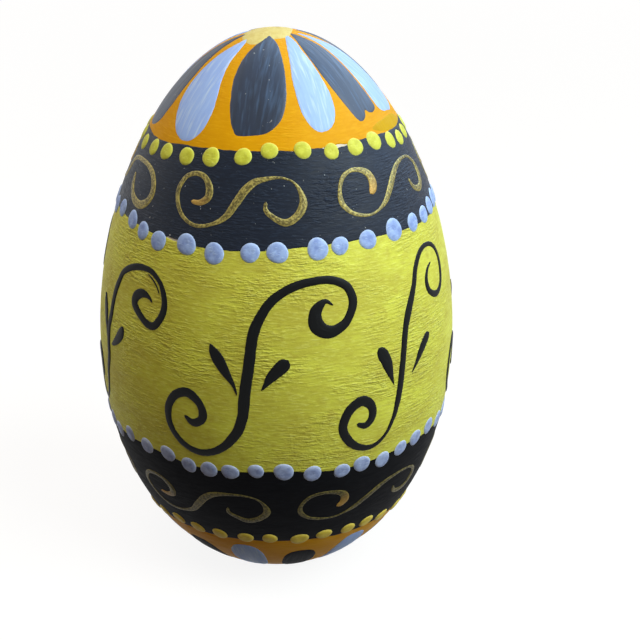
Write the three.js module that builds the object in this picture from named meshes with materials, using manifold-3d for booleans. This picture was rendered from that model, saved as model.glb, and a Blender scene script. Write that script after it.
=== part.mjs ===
// A turned wooden egg, hand painted in bands with scrolls, petals and dots, that stands
// on its own small flat base. Every layer of paint is a thin solid of its own.
// Millimetres, +Z up, front at -Y, origin in the middle of the flat base.
import * as THREE from 'three';
import Module from 'manifold-3d';
import { mergeVertices } from 'three/addons/utils/BufferGeometryUtils.js';

const wasm = await Module();
wasm.setup();

// The turned egg, measured over its ground coats
const EGG_DIAMETER = 62;
const EGG_LENGTH = 97.6; // pole to pole, before the base is faced off
const TOP_SLIMMING = 0.1; // how much slimmer the upper half is turned than the lower
const FACED_OFF = 2.2; // taken off the bottom pole to leave the flat base
const BARE_RIM = 0.8; // bare wood left between the base and the paint

// Ground coats, with their widths measured down the curved side
const TOP_CAP_WIDTH = 26.8;
const UPPER_BAND_WIDTH = 14.4;
const LOWER_BAND_WIDTH = 17.2;
const BOTTOM_CAP_WIDTH = 20;
const COAT_THICKNESS = 0.2;
const LAYER_CLEARANCE = 0.1; // between one layer of paint and the next
const SEAM_GAP = 0.3; // primer line where two coats meet
const EDGE_WANDER = 0.8; // most that a hand-painted edge strays from its line

// The spot on the top pole and the petals round it
const HUB_DIAMETER = 12.4;
const HUB_THICKNESS = 0.1;
const PETAL_THICKNESS = 0.2;
const PETAL_START = 4; // from the top pole to a petal's tip
const PETAL_GAP = 1.1; // ground left between two petals where they are broadest
const BLACK_PETAL_STOP = 2.6; // from a petal's round end to the edge of its cap
const LILAC_PETAL_STOP = 2.1;
const BOTTOM_PETAL_GAP = 2.6;
const BOTTOM_BLACK_STOP = 4.4;
const BOTTOM_LILAC_STOP = 2.4;
const BOTTOM_PETAL_START = 1.6; // from the bare rim to a petal's tip

// Raised brush strokes
const STROKE_HEIGHT = 0.25;
const VINE_STROKE = 1.9; // widest part of a black scroll
const VINE_MARGIN_ABOVE = 4.2;
const VINE_MARGIN_BELOW = 3.1;
const LEAF_TAIL_HEIGHT = 0.12; // a leaf is flatter than its stem
const GOLD_STROKE = 1.4; // widest part of a gold scroll
const UPPER_GOLD_ABOVE = 3.4;
const UPPER_GOLD_BELOW = 2.5;
const LOWER_GOLD_ABOVE = 4.8;
const LOWER_GOLD_BELOW = 4.8;

// Raised dots, dabbed over the seams
const YELLOW_DOT = 2.9; // usual diameter
const YELLOW_DOT_SPACE = 1.5; // left between one dot and the next
const UPPER_LILAC_DOT = 3.3;
const UPPER_LILAC_SPACE = 1.4;
const LOWER_LILAC_DOT = 3.1;
const LOWER_LILAC_SPACE = 1.15;
const DOT_HEIGHT = 0.6;
const THREAD_WIDTH = 0.5; // thin line of paint that ties a row together
const THREAD_HEIGHT = 0.12;

// Fineness of the faceted surface
const AROUND = 48;
const SIDE_STEPS = 600;
const VINE_STEPS = 38;
const GOLD_STEPS = 28;
const LEAF_STEPS = 5;

const FINISHES = {
  wood: { color: 0xc99f6b, roughness: 0.7 },
  orange: { color: 0xefa015, roughness: 0.5 },
  black: { color: 0x23242e, roughness: 0.4 },
  yellow: { color: 0xbdbb41, roughness: 0.5 },
  cream: { color: 0xe8dc88, roughness: 0.5 },
  lilac: { color: 0xa3b4e2, roughness: 0.45 },
  brightYellow: { color: 0xdadf5e, roughness: 0.4 },
  gold: { color: 0xa8934a, roughness: 0.35, metalness: 0.6 },
};

// Profile of the egg

const HALF_LENGTH = EGG_LENGTH / 2;
const MID_HEIGHT = HALF_LENGTH - FACED_OFF;
const WIDEST_SINE = (1 - Math.sqrt(1 + 8 * TOP_SLIMMING ** 2)) / (4 * TOP_SLIMMING);
const swell = (sine) => Math.sqrt(1 - sine ** 2) * (1 - TOP_SLIMMING * sine);
const SWELL_SCALE = EGG_DIAMETER / 2 / swell(WIDEST_SINE);

// Radius, height and outward direction of the painted side at a tilt, in radians,
// which is a right angle at the top pole and 0 halfway down.
function profile(tilt) {
  const sine = Math.sin(tilt);
  const cosine = Math.cos(tilt);
  const radiusGrowth = SWELL_SCALE * (TOP_SLIMMING * (sine ** 2 - cosine ** 2) - sine);
  const heightGrowth = HALF_LENGTH * cosine;
  const length = Math.hypot(radiusGrowth, heightGrowth);
  return {
    radius: SWELL_SCALE * cosine * (1 - TOP_SLIMMING * sine),
    height: MID_HEIGHT + HALF_LENGTH * sine,
    outward: heightGrowth / length,
    upward: -radiusGrowth / length,
  };
}

const TOP_TILT = Math.PI / 2;
const BASE_TILT = Math.asin(-MID_HEIGHT / HALF_LENGTH);
const tiltOfStep = (step) => THREE.MathUtils.lerp(TOP_TILT, BASE_TILT, step / SIDE_STEPS);

// Distance down the curved side from the top pole, at each step of tilt
const sideLengths = [0];
for (let step = 1; step <= SIDE_STEPS; step += 1) {
  const above = profile(tiltOfStep(step - 1));
  const here = profile(tiltOfStep(step));
  const rise = above.height - here.height;
  sideLengths.push(sideLengths.at(-1) + Math.hypot(here.radius - above.radius, rise));
}
const SIDE_LENGTH = sideLengths.at(-1);

function sideAt(down) {
  const after = sideLengths.findIndex((length) => length > down);
  const step = after < 1 ? SIDE_STEPS - 1 : after - 1;
  const share = (down - sideLengths[step]) / (sideLengths[step + 1] - sideLengths[step]);
  return profile(tiltOfStep(step + share));
}

// A point at a turn in degrees from the front, a distance down the side, and a lift
// straight out of the painted side.
function onEgg(turn, down, lift) {
  const { radius, height, outward, upward } = sideAt(down);
  const angle = THREE.MathUtils.degToRad(turn);
  const reach = radius + lift * outward;
  const z = height + lift * upward;
  return new THREE.Vector3(reach * Math.sin(angle), -reach * Math.cos(angle), z);
}

const millimetresPerDegree = (down) => THREE.MathUtils.degToRad(sideAt(down).radius);

// Solids

const SAME_POINT = 1e-5; // points this near each other are one

// Joins equal loops of points, each drawn left to right below and right to left above
// as seen along the way, into one closed body.
function loft(loops, goesRound) {
  const points = loops.flat();
  const size = loops[0].length;
  const triangles = [];
  const meets = (a, b) => points[a].distanceTo(points[b]) < SAME_POINT;
  const add = (a, b, c) => {
    if (!meets(a, b) && !meets(b, c) && !meets(c, a)) triangles.push(a, b, c);
  };
  const spans = goesRound ? loops.length : loops.length - 1;
  for (let span = 0; span < spans; span += 1) {
    const here = span * size;
    const next = ((span + 1) % loops.length) * size;
    for (let side = 0; side < size; side += 1) {
      const beside = (side + 1) % size;
      add(here + side, next + side, next + beside);
      add(here + side, next + beside, here + beside);
    }
  }
  if (!goesRound) {
    const last = points.length - size;
    for (let low = 0, high = size - 1; high - low > 1; low += 1, high -= 1) {
      add(low, low + 1, high);
      add(last + low, last + high, last + low + 1);
      if (high - low > 2) {
        add(low + 1, high - 1, high);
        add(last + low + 1, last + high, last + high - 1);
      }
    }
  }
  const geometry = new THREE.BufferGeometry().setFromPoints(points);
  geometry.setIndex(triangles);
  return mergeVertices(geometry, SAME_POINT);
}

function join(geometries) {
  const solids = geometries.map((geometry) => new wasm.Manifold(new wasm.Mesh({
    numProp: 3,
    vertProperties: geometry.attributes.position.array,
    triVerts: new Uint32Array(geometry.index.array),
  })));
  const joined = solids.reduce((whole, piece) => whole.add(piece)).getMesh();
  const geometry = new THREE.BufferGeometry();
  geometry.setAttribute('position', new THREE.BufferAttribute(joined.vertProperties, 3));
  geometry.setIndex(new THREE.BufferAttribute(joined.triVerts, 1));
  return geometry;
}

const egg = new THREE.Group();

function addPiece(name, geometry, finish) {
  geometry.computeVertexNormals();
  const piece = new THREE.Mesh(geometry, new THREE.MeshStandardMaterial(FINISHES[finish]));
  piece.name = name;
  egg.add(piece);
}

// Ground coats and the wood under them

// Painted edges: their mean distance down the side, and how a hand-held brush wandered
// up and down there, as [share of the most, waves round the egg, turn of a crest].
const EDGES = {
  topCap: {
    down: TOP_CAP_WIDTH,
    wander: [[1, 1, 63]],
  },
  upperBand: {
    down: TOP_CAP_WIDTH + UPPER_BAND_WIDTH,
    wander: [[0.2, 1, 90], [0.5, 4, 24]],
  },
  lowerBand: {
    down: SIDE_LENGTH - BOTTOM_CAP_WIDTH - LOWER_BAND_WIDTH,
    wander: [[0.45, 8, 2]],
  },
  bottomCap: {
    down: SIDE_LENGTH - BOTTOM_CAP_WIDTH,
    wander: [[0.3, 5, 0]],
  },
};

function edgeDown(edge, turn) {
  const rise = ([share, waves, crest]) => (
    share * EDGE_WANDER * Math.cos(THREE.MathUtils.degToRad(waves * (turn - crest)))
  );
  return edge.wander.reduce((down, wave) => down - rise(wave), edge.down);
}

const aboveSeam = (edge) => (turn) => edgeDown(edge, turn) - SEAM_GAP / 2;
const belowSeam = (edge) => (turn) => edgeDown(edge, turn) + SEAM_GAP / 2;

const COATS = [
  {
    name: 'coat_top_cap',
    top: () => 0,
    bottom: aboveSeam(EDGES.topCap),
    rows: 5,
    finish: 'orange',
  },
  {
    name: 'coat_upper_band',
    top: belowSeam(EDGES.topCap),
    bottom: aboveSeam(EDGES.upperBand),
    rows: 2,
    finish: 'black',
  },
  {
    name: 'coat_wide_band',
    top: belowSeam(EDGES.upperBand),
    bottom: aboveSeam(EDGES.lowerBand),
    rows: 5,
    finish: 'yellow',
  },
  {
    name: 'coat_lower_band',
    top: belowSeam(EDGES.lowerBand),
    bottom: aboveSeam(EDGES.bottomCap),
    rows: 3,
    finish: 'black',
  },
  {
    name: 'coat_bottom_cap',
    top: belowSeam(EDGES.bottomCap),
    bottom: () => SIDE_LENGTH - BARE_RIM,
    rows: 3,
    finish: 'orange',
  },
];

// Points down a coat at one turn, from its top edge to its bottom edge
function rowsOf(coat, turn, lift) {
  const points = [];
  for (let row = 0; row <= coat.rows; row += 1) {
    const down = THREE.MathUtils.lerp(coat.top(turn), coat.bottom(turn), row / coat.rows);
    points.push(onEgg(turn, down, lift));
  }
  return points;
}

const TURNS = Array.from({ length: AROUND }, (_, index) => index * 360 / AROUND);

function coatSolid(coat, lowLift, highLift) {
  const loops = TURNS.map((turn) => [
    ...rowsOf(coat, turn, lowLift),
    ...rowsOf(coat, turn, highLift).reverse(),
  ]);
  return loft(loops, true);
}

function blankSolid() {
  const lift = -COAT_THICKNESS - LAYER_CLEARANCE;
  const baseRadius = sideAt(SIDE_LENGTH).radius;
  const loops = TURNS.map((turn) => {
    const angle = THREE.MathUtils.degToRad(turn);
    const rim = new THREE.Vector3(baseRadius * Math.sin(angle), -baseRadius * Math.cos(angle), 0);
    const side = COATS.flatMap((coat) => rowsOf(coat, turn, lift));
    return [side[0], new THREE.Vector3(0, 0, 0), rim, ...side.slice(1).reverse()];
  });
  return loft(loops, true);
}

addPiece('egg_blank', blankSolid(), 'wood');
for (const coat of COATS) {
  addPiece(coat.name, coatSolid(coat, -COAT_THICKNESS, 0), coat.finish);
}

const HUB_LIFT = LAYER_CLEARANCE + HUB_THICKNESS;
const hub = { top: () => 0, bottom: () => HUB_DIAMETER / 2, rows: 2 };
addPiece('hub_spot', coatSolid(hub, LAYER_CLEARANCE, HUB_LIFT), 'cream');

// Petals

const BROADEST = 0.6; // how far along a petal, from its tip, it is broadest
const TIP_CURVE = 0.55; // below 1, a petal swells fast from its tip
const TIP_BREADTH = 0.12; // share of the full breadth left at the tip
const END_BREADTH = 0.3; // and at the round end
const BLUNT_END = 4;
const ROUND_END = 3;

// Share of its full breadth that a petal has, from its tip at 0 to its round end at 1
function petalBreadth(along, bluntness) {
  if (along < BROADEST) return Math.max((along / BROADEST) ** TIP_CURVE, TIP_BREADTH);
  const pastBroadest = (along - BROADEST) / (1 - BROADEST);
  return Math.max(Math.sqrt(1 - pastBroadest ** bluntness), END_BREADTH);
}

// A petal runs from its tip to its end, distances down the side, between two turns.
function petalSolid({ left, right, tip, end, gap, bluntness, low, across, stations }) {
  const middle = (left + right) / 2;
  const broadest = THREE.MathUtils.lerp(tip, end, BROADEST);
  const room = (right - left) * millimetresPerDegree(broadest);
  const loops = stations.map((along) => {
    const down = THREE.MathUtils.lerp(tip, end, along);
    const breadth = (room - gap) * petalBreadth(along, bluntness);
    const point = (index, lift) => {
      const aside = breadth * (index / across - 0.5) / millimetresPerDegree(down);
      return onEgg(middle + aside, down, lift);
    };
    const indices = Array.from({ length: across + 1 }, (_, index) => index);
    // Seen down the egg, a rising turn lies to the left.
    const below = indices.map((index) => point(across - index, low));
    const above = indices.map((index) => point(index, low + PETAL_THICKNESS));
    return end > tip ? [...below, ...above] : [...below.reverse(), ...above.reverse()];
  });
  return loft(loops, false);
}

// Turns of the ground between the petals, as the brush divided the front, in degrees
const TOP_PETALS = 12;
const SEEN_DIVISIONS = [-95, -64, -29.7, 11.9, 39.3, 66.3, 95];
const UNSEEN_PETALS = TOP_PETALS - SEEN_DIVISIONS.length + 1;

function topDivision(index) {
  if (index < SEEN_DIVISIONS.length) return SEEN_DIVISIONS[index];
  const share = (index - SEEN_DIVISIONS.length + 1) / UNSEEN_PETALS;
  return THREE.MathUtils.lerp(SEEN_DIVISIONS.at(-1), 360 + SEEN_DIVISIONS[0], share);
}

for (let index = 0; index < TOP_PETALS; index += 1) {
  const isBlack = index % 2 === 0;
  const left = topDivision(index);
  const right = topDivision(index + 1);
  const stop = isBlack ? BLACK_PETAL_STOP : LILAC_PETAL_STOP;
  const solid = petalSolid({
    left,
    right,
    tip: PETAL_START,
    end: edgeDown(EDGES.topCap, (left + right) / 2) - stop,
    gap: PETAL_GAP,
    bluntness: isBlack ? BLUNT_END : ROUND_END,
    low: HUB_LIFT + LAYER_CLEARANCE,
    across: 4,
    stations: [0, 0.17, 0.38, BROADEST, 0.82, 0.94, 1],
  });
  const kind = isBlack ? 'black' : 'lilac';
  addPiece(`petal_top_${kind}_${Math.floor(index / 2) + 1}`, solid, kind);
}

const BOTTOM_PETALS = 14;
for (let index = 0; index < BOTTOM_PETALS; index += 1) {
  const isBlack = index % 2 === 0;
  const left = index * 360 / BOTTOM_PETALS;
  const right = (index + 1) * 360 / BOTTOM_PETALS;
  const stop = isBlack ? BOTTOM_BLACK_STOP : BOTTOM_LILAC_STOP;
  const solid = petalSolid({
    left,
    right,
    tip: SIDE_LENGTH - BARE_RIM - BOTTOM_PETAL_START,
    end: edgeDown(EDGES.bottomCap, (left + right) / 2) + stop,
    gap: BOTTOM_PETAL_GAP,
    bluntness: ROUND_END,
    low: LAYER_CLEARANCE,
    across: 3,
    stations: [0, 0.3, BROADEST, 0.88, 1],
  });
  const kind = isBlack ? 'black' : 'lilac';
  addPiece(`petal_bottom_${kind}_${Math.floor(index / 2) + 1}`, solid, kind);
}

// Brush strokes

const RIDGE = [[0.5, 0], [-0.5, 0], [0, 1]];
const FLAT_TOP = [[0.5, 0], [-0.5, 0], [-0.28, 1], [0.28, 1]];

// A line of paint through stations, each with its turn, its distance down the side, its
// width and its height. The section gives [share of width to the left, share of height].
function strokeSolid(stations, section, goesRound = false) {
  const count = stations.length;
  const loops = stations.map((station, index) => {
    const before = stations[goesRound ? (index + count - 1) % count : Math.max(index - 1, 0)];
    const after = stations[goesRound ? (index + 1) % count : Math.min(index + 1, count - 1)];
    const perDegree = millimetresPerDegree(station.down);
    const turned = THREE.MathUtils.euclideanModulo(after.turn - before.turn + 180, 360) - 180;
    const way = new THREE.Vector2(turned * perDegree, before.down - after.down).normalize();
    return section.map(([aside, up]) => {
      const left = aside * station.width;
      const turn = station.turn - way.y * left / perDegree;
      const down = station.down - way.x * left;
      return onEgg(turn, down, LAYER_CLEARANCE + up * station.height);
    });
  });
  return loft(loops, goesRound);
}

// Smooth stations through a hand-drawn line of [turn, rise, share of the full width]
function stationsAlong(drawing, { middle, spread, lowest, highest, bottom, top }, brush) {
  const perDegree = millimetresPerDegree((bottom + top) / 2);
  const corners = drawing.map(([turn, rise, share]) => {
    const down = THREE.MathUtils.mapLinear(rise, lowest, highest, bottom, top);
    return new THREE.Vector3(turn * spread * perDegree, down, share * brush.width);
  });
  const curve = new THREE.CatmullRomCurve3(corners, false, 'centripetal');
  return curve.getSpacedPoints(brush.steps).map(({ x, y, z }) => ({
    turn: middle + x / perDegree,
    down: y,
    width: z,
    height: brush.height,
  }));
}

// Black vine scrolls, drawn on a seventh of the egg. Turns are in degrees from the stem
// and rises in millimetres, between the lowest and the highest point of the drawing.
const VINES = 7;
const VINE_DRAWING = { pitch: 51.4, lowest: 3.2, highest: 33.4 };

const WIDE_VINE = {
  stem: [
    [26.3, 28.5, 0.15], [23.5, 29.1, 0.45], [20.5, 27.6, 1], [21.2, 25.1, 1.1],
    [25.2, 24.4, 1], [30, 25.6, 0.8], [32.8, 28.5, 0.8], [31.3, 31, 0.75],
    [26.5, 32.3, 0.7], [20, 32.4, 0.7], [13, 31.5, 0.75], [7.5, 29.7, 0.8],
    [4, 27.2, 0.85], [1.9, 24.5, 0.95], [0.8, 20, 0.95], [-0.5, 15, 1],
    [-1.6, 10, 0.95], [-3.9, 7.2, 0.9], [-8.3, 4.6, 0.75], [-14, 3.2, 0.7],
    [-20, 3.8, 0.65], [-24.8, 6.5, 0.65], [-25.6, 10, 0.75], [-22.5, 12.8, 0.8],
    [-18.3, 13.6, 0.9], [-14.3, 11.9, 0.75], [-13.8, 9.6, 0.8], [-16.8, 8.5, 0.75],
    [-19.8, 9.5, 0.25],
  ],
  leftLeaf: [
    [-11.2, 22.4, 0.2], [-10, 21.2, 0.8], [-8.2, 19.7, 0.9], [-6, 17.8, 0.65],
    [-4, 16.1, 0.3], [-2.8, 14.4, 0.15], [-0.8, 12, 0.15],
  ],
  rightLeaf: [
    [12.2, 20.4, 0.45], [11, 19.7, 0.95], [8.9, 18.6, 0.9], [7, 17.5, 0.7],
    [5.6, 16.4, 0.4], [4.3, 15.4, 0.15], [-0.3, 12.8, 0.15],
  ],
};

const NARROW_VINE = {
  stem: [
    [19.5, 30.4, 0.15], [16.5, 29.5, 0.35], [15, 28, 0.55], [15.6, 26.4, 0.6],
    [18, 25.3, 0.6], [21.5, 24.9, 0.6], [24.6, 25.7, 0.55], [26.7, 28.2, 0.55],
    [26.2, 31, 0.5], [23, 32.8, 0.45], [18.5, 33.4, 0.45], [14.2, 32.9, 0.55],
    [10.4, 31.2, 0.6], [7.6, 28.3, 0.65], [4, 24.9, 0.85], [2, 22.5, 0.75],
    [0.6, 19, 0.7], [-0.5, 15, 0.75], [-1.6, 11, 0.7], [-3.5, 7, 0.5],
    [-6.5, 4.4, 0.4], [-10.5, 3.2, 0.5], [-15, 3.6, 0.65], [-18.9, 5.2, 0.8],
    [-21.3, 8, 0.85], [-18.8, 11.2, 0.95], [-14.8, 12.1, 1], [-11.8, 10.6, 0.85],
    [-11.6, 8.7, 0.8], [-13.7, 7.6, 0.7], [-16.8, 8.2, 0.35],
  ],
  leftLeaf: [
    [-9.4, 20.3, 0.3], [-7.8, 19.2, 0.8], [-6.5, 17.8, 1], [-5.5, 16.2, 0.7],
    [-4.6, 14.8, 0.35], [-3.7, 13.4, 0.15], [-1.2, 10.8, 0.15],
  ],
  rightLeaf: [
    [13.3, 19.6, 0.45], [12, 19.1, 0.85], [10, 18, 0.9], [8, 16.8, 0.75],
    [6, 15.4, 0.4], [4, 14.2, 0.15], [-0.8, 11.6, 0.15],
  ],
};

// How far each stem stands from an even seventh, in degrees, and which drawing it follows
const VINE_HANDS = [
  { drift: 0, drawing: WIDE_VINE },
  { drift: -1.4, drawing: NARROW_VINE },
  { drift: -1.4, drawing: WIDE_VINE },
  { drift: 0.8, drawing: NARROW_VINE },
  { drift: 0, drawing: WIDE_VINE },
  { drift: -1, drawing: NARROW_VINE },
  { drift: -2, drawing: NARROW_VINE },
];
const FRONT_STEM_TURN = -7;

VINE_HANDS.forEach(({ drift, drawing }, index) => {
  const pitch = 360 / VINES;
  const cell = {
    middle: FRONT_STEM_TURN + index * pitch + drift,
    spread: pitch / VINE_DRAWING.pitch,
    lowest: VINE_DRAWING.lowest,
    highest: VINE_DRAWING.highest,
    bottom: EDGES.lowerBand.down - VINE_MARGIN_BELOW,
    top: EDGES.upperBand.down + VINE_MARGIN_ABOVE,
  };
  const stemBrush = { width: VINE_STROKE, height: STROKE_HEIGHT, steps: VINE_STEPS };
  const leafBrush = { width: VINE_STROKE, height: LEAF_TAIL_HEIGHT, steps: LEAF_STEPS };
  const solid = join([
    strokeSolid(stationsAlong(drawing.stem, cell, stemBrush), RIDGE),
    strokeSolid(stationsAlong(drawing.leftLeaf, cell, leafBrush), RIDGE),
    strokeSolid(stationsAlong(drawing.rightLeaf, cell, leafBrush), RIDGE),
  ]);
  addPiece(`vine_scroll_${index + 1}`, solid, 'black');
});

// Gold S-scrolls, drawn on a sixth of the egg, with turns in degrees and rises in
// millimetres from the middle of the drawing.
const GOLD_SCROLLS = 6;
const GOLD_DRAWING = { pitch: 60, lowest: -3.8, highest: 4 };

const HOOKED_SCROLL = [
  [-18, -0.5, 0.45], [-14.3, -0.5, 0.7], [-11.5, 0.3, 0.95], [-11.3, 1.6, 0.95],
  [-14, 3.1, 0.7], [-18, 3.5, 0.6], [-22.5, 2.8, 0.6], [-24.8, 0.8, 0.65],
  [-23.5, -1.2, 0.6], [-20, -2.9, 0.5], [-14.5, -3.8, 0.45], [-8, -3.2, 0.45],
  [-3.8, -2.1, 0.75], [-0.5, -0.1, 0.95], [2.5, 1.8, 1], [6, 3.1, 0.85],
  [11.3, 3.7, 0.5], [16.5, 3.8, 0.3], [20.9, 3.2, 0.25], [23.4, 1.8, 0.55],
  [24.2, 0.1, 0.95], [22, -1.5, 0.9], [17.5, -2.5, 0.85], [13.2, -1.7, 0.65],
  [10.6, -0.7, 0.55], [10.7, 0.5, 0.3],
];

const OPEN_SCROLL = [
  [-12.1, 0.2, 0.7], [-10.3, 0.7, 1], [-9.4, 1.7, 1.2], [-10.2, 2.9, 1],
  [-13, 3.7, 0.7], [-18, 4, 0.5], [-22.2, 3.3, 0.55], [-24.7, 1.5, 0.5],
  [-24.8, -0.2, 0.7], [-22.2, -1.7, 0.55], [-18, -2.5, 0.45], [-13, -2.7, 0.3],
  [-9, -2.2, 0.35], [-5.5, -1.4, 0.7], [-1.5, 0.1, 0.85], [2.5, 1.6, 0.85],
  [7, 2.8, 0.7], [13, 3.4, 0.45], [19, 3.1, 0.35], [23, 1.8, 0.65],
  [23.7, 0.3, 0.95], [22, -1.4, 0.85], [18.3, -1.9, 0.85], [14, -1.2, 0.65],
  [12.3, 0.3, 0.35],
];

const GOLD_ROWS = [
  {
    name: 'gold_scroll_upper',
    start: -12.5,
    drifts: [0, 3.5, 2, 0, -2, -3.5],
    top: EDGES.topCap.down + UPPER_GOLD_ABOVE,
    bottom: EDGES.upperBand.down - UPPER_GOLD_BELOW,
  },
  {
    name: 'gold_scroll_lower',
    start: -26,
    drifts: [0, 0.5, 1, 1, 0.5, 0],
    top: EDGES.lowerBand.down + LOWER_GOLD_ABOVE,
    bottom: EDGES.bottomCap.down - LOWER_GOLD_BELOW,
  },
];

for (const { name, start, drifts, top, bottom } of GOLD_ROWS) {
  drifts.forEach((drift, index) => {
    const pitch = 360 / GOLD_SCROLLS;
    const cell = {
      middle: start + index * pitch + drift,
      spread: pitch / GOLD_DRAWING.pitch,
      lowest: GOLD_DRAWING.lowest,
      highest: GOLD_DRAWING.highest,
      bottom,
      top,
    };
    const drawing = index % 2 === 0 ? HOOKED_SCROLL : OPEN_SCROLL;
    const brush = { width: GOLD_STROKE, height: STROKE_HEIGHT, steps: GOLD_STEPS };
    const solid = strokeSolid(stationsAlong(drawing, cell, brush), RIDGE);
    addPiece(`${name}_${index + 1}`, solid, 'gold');
  });
}

// Rows of dots

// Each row is dabbed over a seam. A seen dab is [drift along the row as a share of the
// pitch, rise above the seam's mean place and size, both as shares of the diameter].
const DOT_ROWS = [
  {
    name: 'dots_row_1_yellow',
    edge: EDGES.topCap,
    diameter: YELLOW_DOT,
    space: YELLOW_DOT_SPACE,
    start: -1,
    firstSeen: -5,
    seen: [
      [-0.04, -0.69, 0.95], [-0.16, -0.66, 1], [-0.11, -0.55, 1.03], [-0.1, -0.34, 1.07],
      [0.08, -0.17, 0.97], [0, 0.21, 0.93], [0.2, 0.21, 0.97], [0.27, 0, 0.9],
      [0.29, 0.03, 1.02], [0.29, 0.1, 1.1], [0.25, -0.21, 0.97], [0.05, -0.38, 0.93],
      [-0.1, -0.34, 0.95],
    ],
    finish: 'brightYellow',
  },
  {
    name: 'dots_row_2_lilac',
    edge: EDGES.upperBand,
    diameter: UPPER_LILAC_DOT,
    space: UPPER_LILAC_SPACE,
    start: 2.2,
    firstSeen: -6,
    seen: [
      [-0.02, 0.06, 0.95], [-0.22, -0.18, 0.9], [-0.35, -0.36, 1], [-0.15, -0.18, 1.06],
      [-0.1, -0.39, 1.03], [0.11, -0.21, 0.94], [0, -0.18, 1.02], [0.33, -0.09, 1.06],
      [0.11, -0.06, 0.88], [0.18, 0, 0.97], [0.38, 0.12, 1.12], [0.48, 0.09, 0.92],
      [0.38, 0.12, 0.92], [0.18, 0.24, 0.95], [0, 0.3, 1],
    ],
    finish: 'lilac',
  },
  {
    name: 'dots_row_3_lilac',
    edge: EDGES.lowerBand,
    diameter: LOWER_LILAC_DOT,
    space: LOWER_LILAC_SPACE,
    start: 3.8,
    firstSeen: -7,
    seen: [
      [-0.06, 0.26, 0.95], [0.1, 0.16, 1], [0.26, 0.26, 1], [0.23, -0.06, 0.95],
      [0.09, -0.06, 1], [-0.05, 0, 0.97], [-0.05, 0.19, 0.88], [0, 0.16, 1.08],
      [0.1, -0.06, 1], [0.28, -0.16, 0.92], [0.12, 0, 1.03], [0.1, -0.16, 1],
      [0.04, 0.1, 0.95], [-0.05, 0.26, 1], [-0.06, 0.39, 1],
    ],
    finish: 'lilac',
  },
  {
    name: 'dots_row_4_yellow',
    edge: EDGES.bottomCap,
    diameter: YELLOW_DOT,
    space: YELLOW_DOT_SPACE,
    start: -1.3,
    firstSeen: -4,
    seen: [
      [0.05, 0.34, 1], [0, 0.21, 1], [0, 0.21, 1], [0.06, 0.24, 1], [0, 0.31, 0.95],
      [0.15, 0.14, 1.12], [0.12, 0.31, 1], [0.14, 0.31, 1], [0, 0.38, 1],
    ],
    finish: 'brightYellow',
  },
];

// Dabs that the front view doesn't show vary by slow waves: drift, rise and size.
const UNSEEN_WAVES = [
  { usual: 0, height: 0.12, speed: 2.4 },
  { usual: 0, height: 0.13, speed: 1.7 },
  { usual: 1, height: 0.05, speed: 3.1 },
];

function dabOf(row, index, count) {
  const seen = row.seen[THREE.MathUtils.euclideanModulo(index - row.firstSeen, count)];
  if (seen) return seen;
  return UNSEEN_WAVES.map(({ usual, height, speed }) => usual + height * Math.sin(speed * index));
}

// Stations along one dot, in shares of its radius: [along the row, width, is on the crown]
const DOT_STATIONS = [[-1, 0, false], [-0.5, 0.87, true], [0.5, 0.87, true], [1, 0, false]];

for (const row of DOT_ROWS) {
  const perDegree = millimetresPerDegree(row.edge.down);
  const count = Math.round(360 * perDegree / (row.diameter + row.space));
  const stations = [];
  for (let index = 0; index < count; index += 1) {
    const [drift, rise, share] = dabOf(row, index, count);
    const radius = share * row.diameter / 2;
    const middle = row.start + (index + drift) * 360 / count;
    for (const [along, width, isCrown] of DOT_STATIONS) {
      stations.push({
        turn: middle + along * radius / perDegree,
        down: row.edge.down - rise * row.diameter,
        width: isCrown ? 2 * width * radius : THREAD_WIDTH,
        height: isCrown ? DOT_HEIGHT : THREAD_HEIGHT,
      });
    }
  }
  addPiece(row.name, strokeSolid(stations, FLAT_TOP, true), row.finish);
}

export default egg;
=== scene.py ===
"""The looks of a turned wooden egg, hand painted with craft acrylics: banded ground coats,
brushed petals, black and gold scrolls, and rows of dots dabbed over the seams.

The egg's lengths are typed in millimetres and turned to metres where points are made. The
floor, lamps and camera are in metres. A place on the egg is a turn in degrees from the front
and a distance down the side from the top pole.
"""

import math

import bpy
import numpy as np
from mathutils import Matrix, Vector, noise


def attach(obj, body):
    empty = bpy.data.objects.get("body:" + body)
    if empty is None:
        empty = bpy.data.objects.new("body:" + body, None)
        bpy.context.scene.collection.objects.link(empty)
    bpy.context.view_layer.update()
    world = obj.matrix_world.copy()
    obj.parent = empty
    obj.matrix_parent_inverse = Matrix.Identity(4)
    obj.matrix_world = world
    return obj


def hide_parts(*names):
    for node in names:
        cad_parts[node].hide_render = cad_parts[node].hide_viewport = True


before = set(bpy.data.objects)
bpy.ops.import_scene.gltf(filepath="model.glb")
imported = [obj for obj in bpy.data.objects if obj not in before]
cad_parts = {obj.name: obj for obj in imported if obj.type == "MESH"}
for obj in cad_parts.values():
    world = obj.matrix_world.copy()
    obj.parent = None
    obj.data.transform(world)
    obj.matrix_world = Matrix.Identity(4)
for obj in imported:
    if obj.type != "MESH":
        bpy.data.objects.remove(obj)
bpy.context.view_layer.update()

MM = 0.001

# The turned egg and its painted bands
EGG_DIAMETER = 62
EGG_LENGTH = 97.6  # before its bottom was faced off
TOP_SLIMMING = 0.1  # how much slimmer it is above than below, as a share
FACED_OFF = 2.2
BARE_RIM = 0.8  # unpainted wood round the flat base
TOP_CAP_WIDTH = 26.8
UPPER_BAND_WIDTH = 14.4
LOWER_BAND_WIDTH = 17.2
BOTTOM_CAP_WIDTH = 20
EDGE_WANDER = 0.8

# How far each layer's face stands off the turned profile
WOOD_LIFT = -0.3
PRIMER_LIFT = -0.2
COAT_LIFT = -0.1
OVERLAP_LIFT = -0.07
STROKE_FOOT = -0.14

AROUND = 480  # points round the egg in a coat
PROFILE_STEPS = 4000


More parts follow.
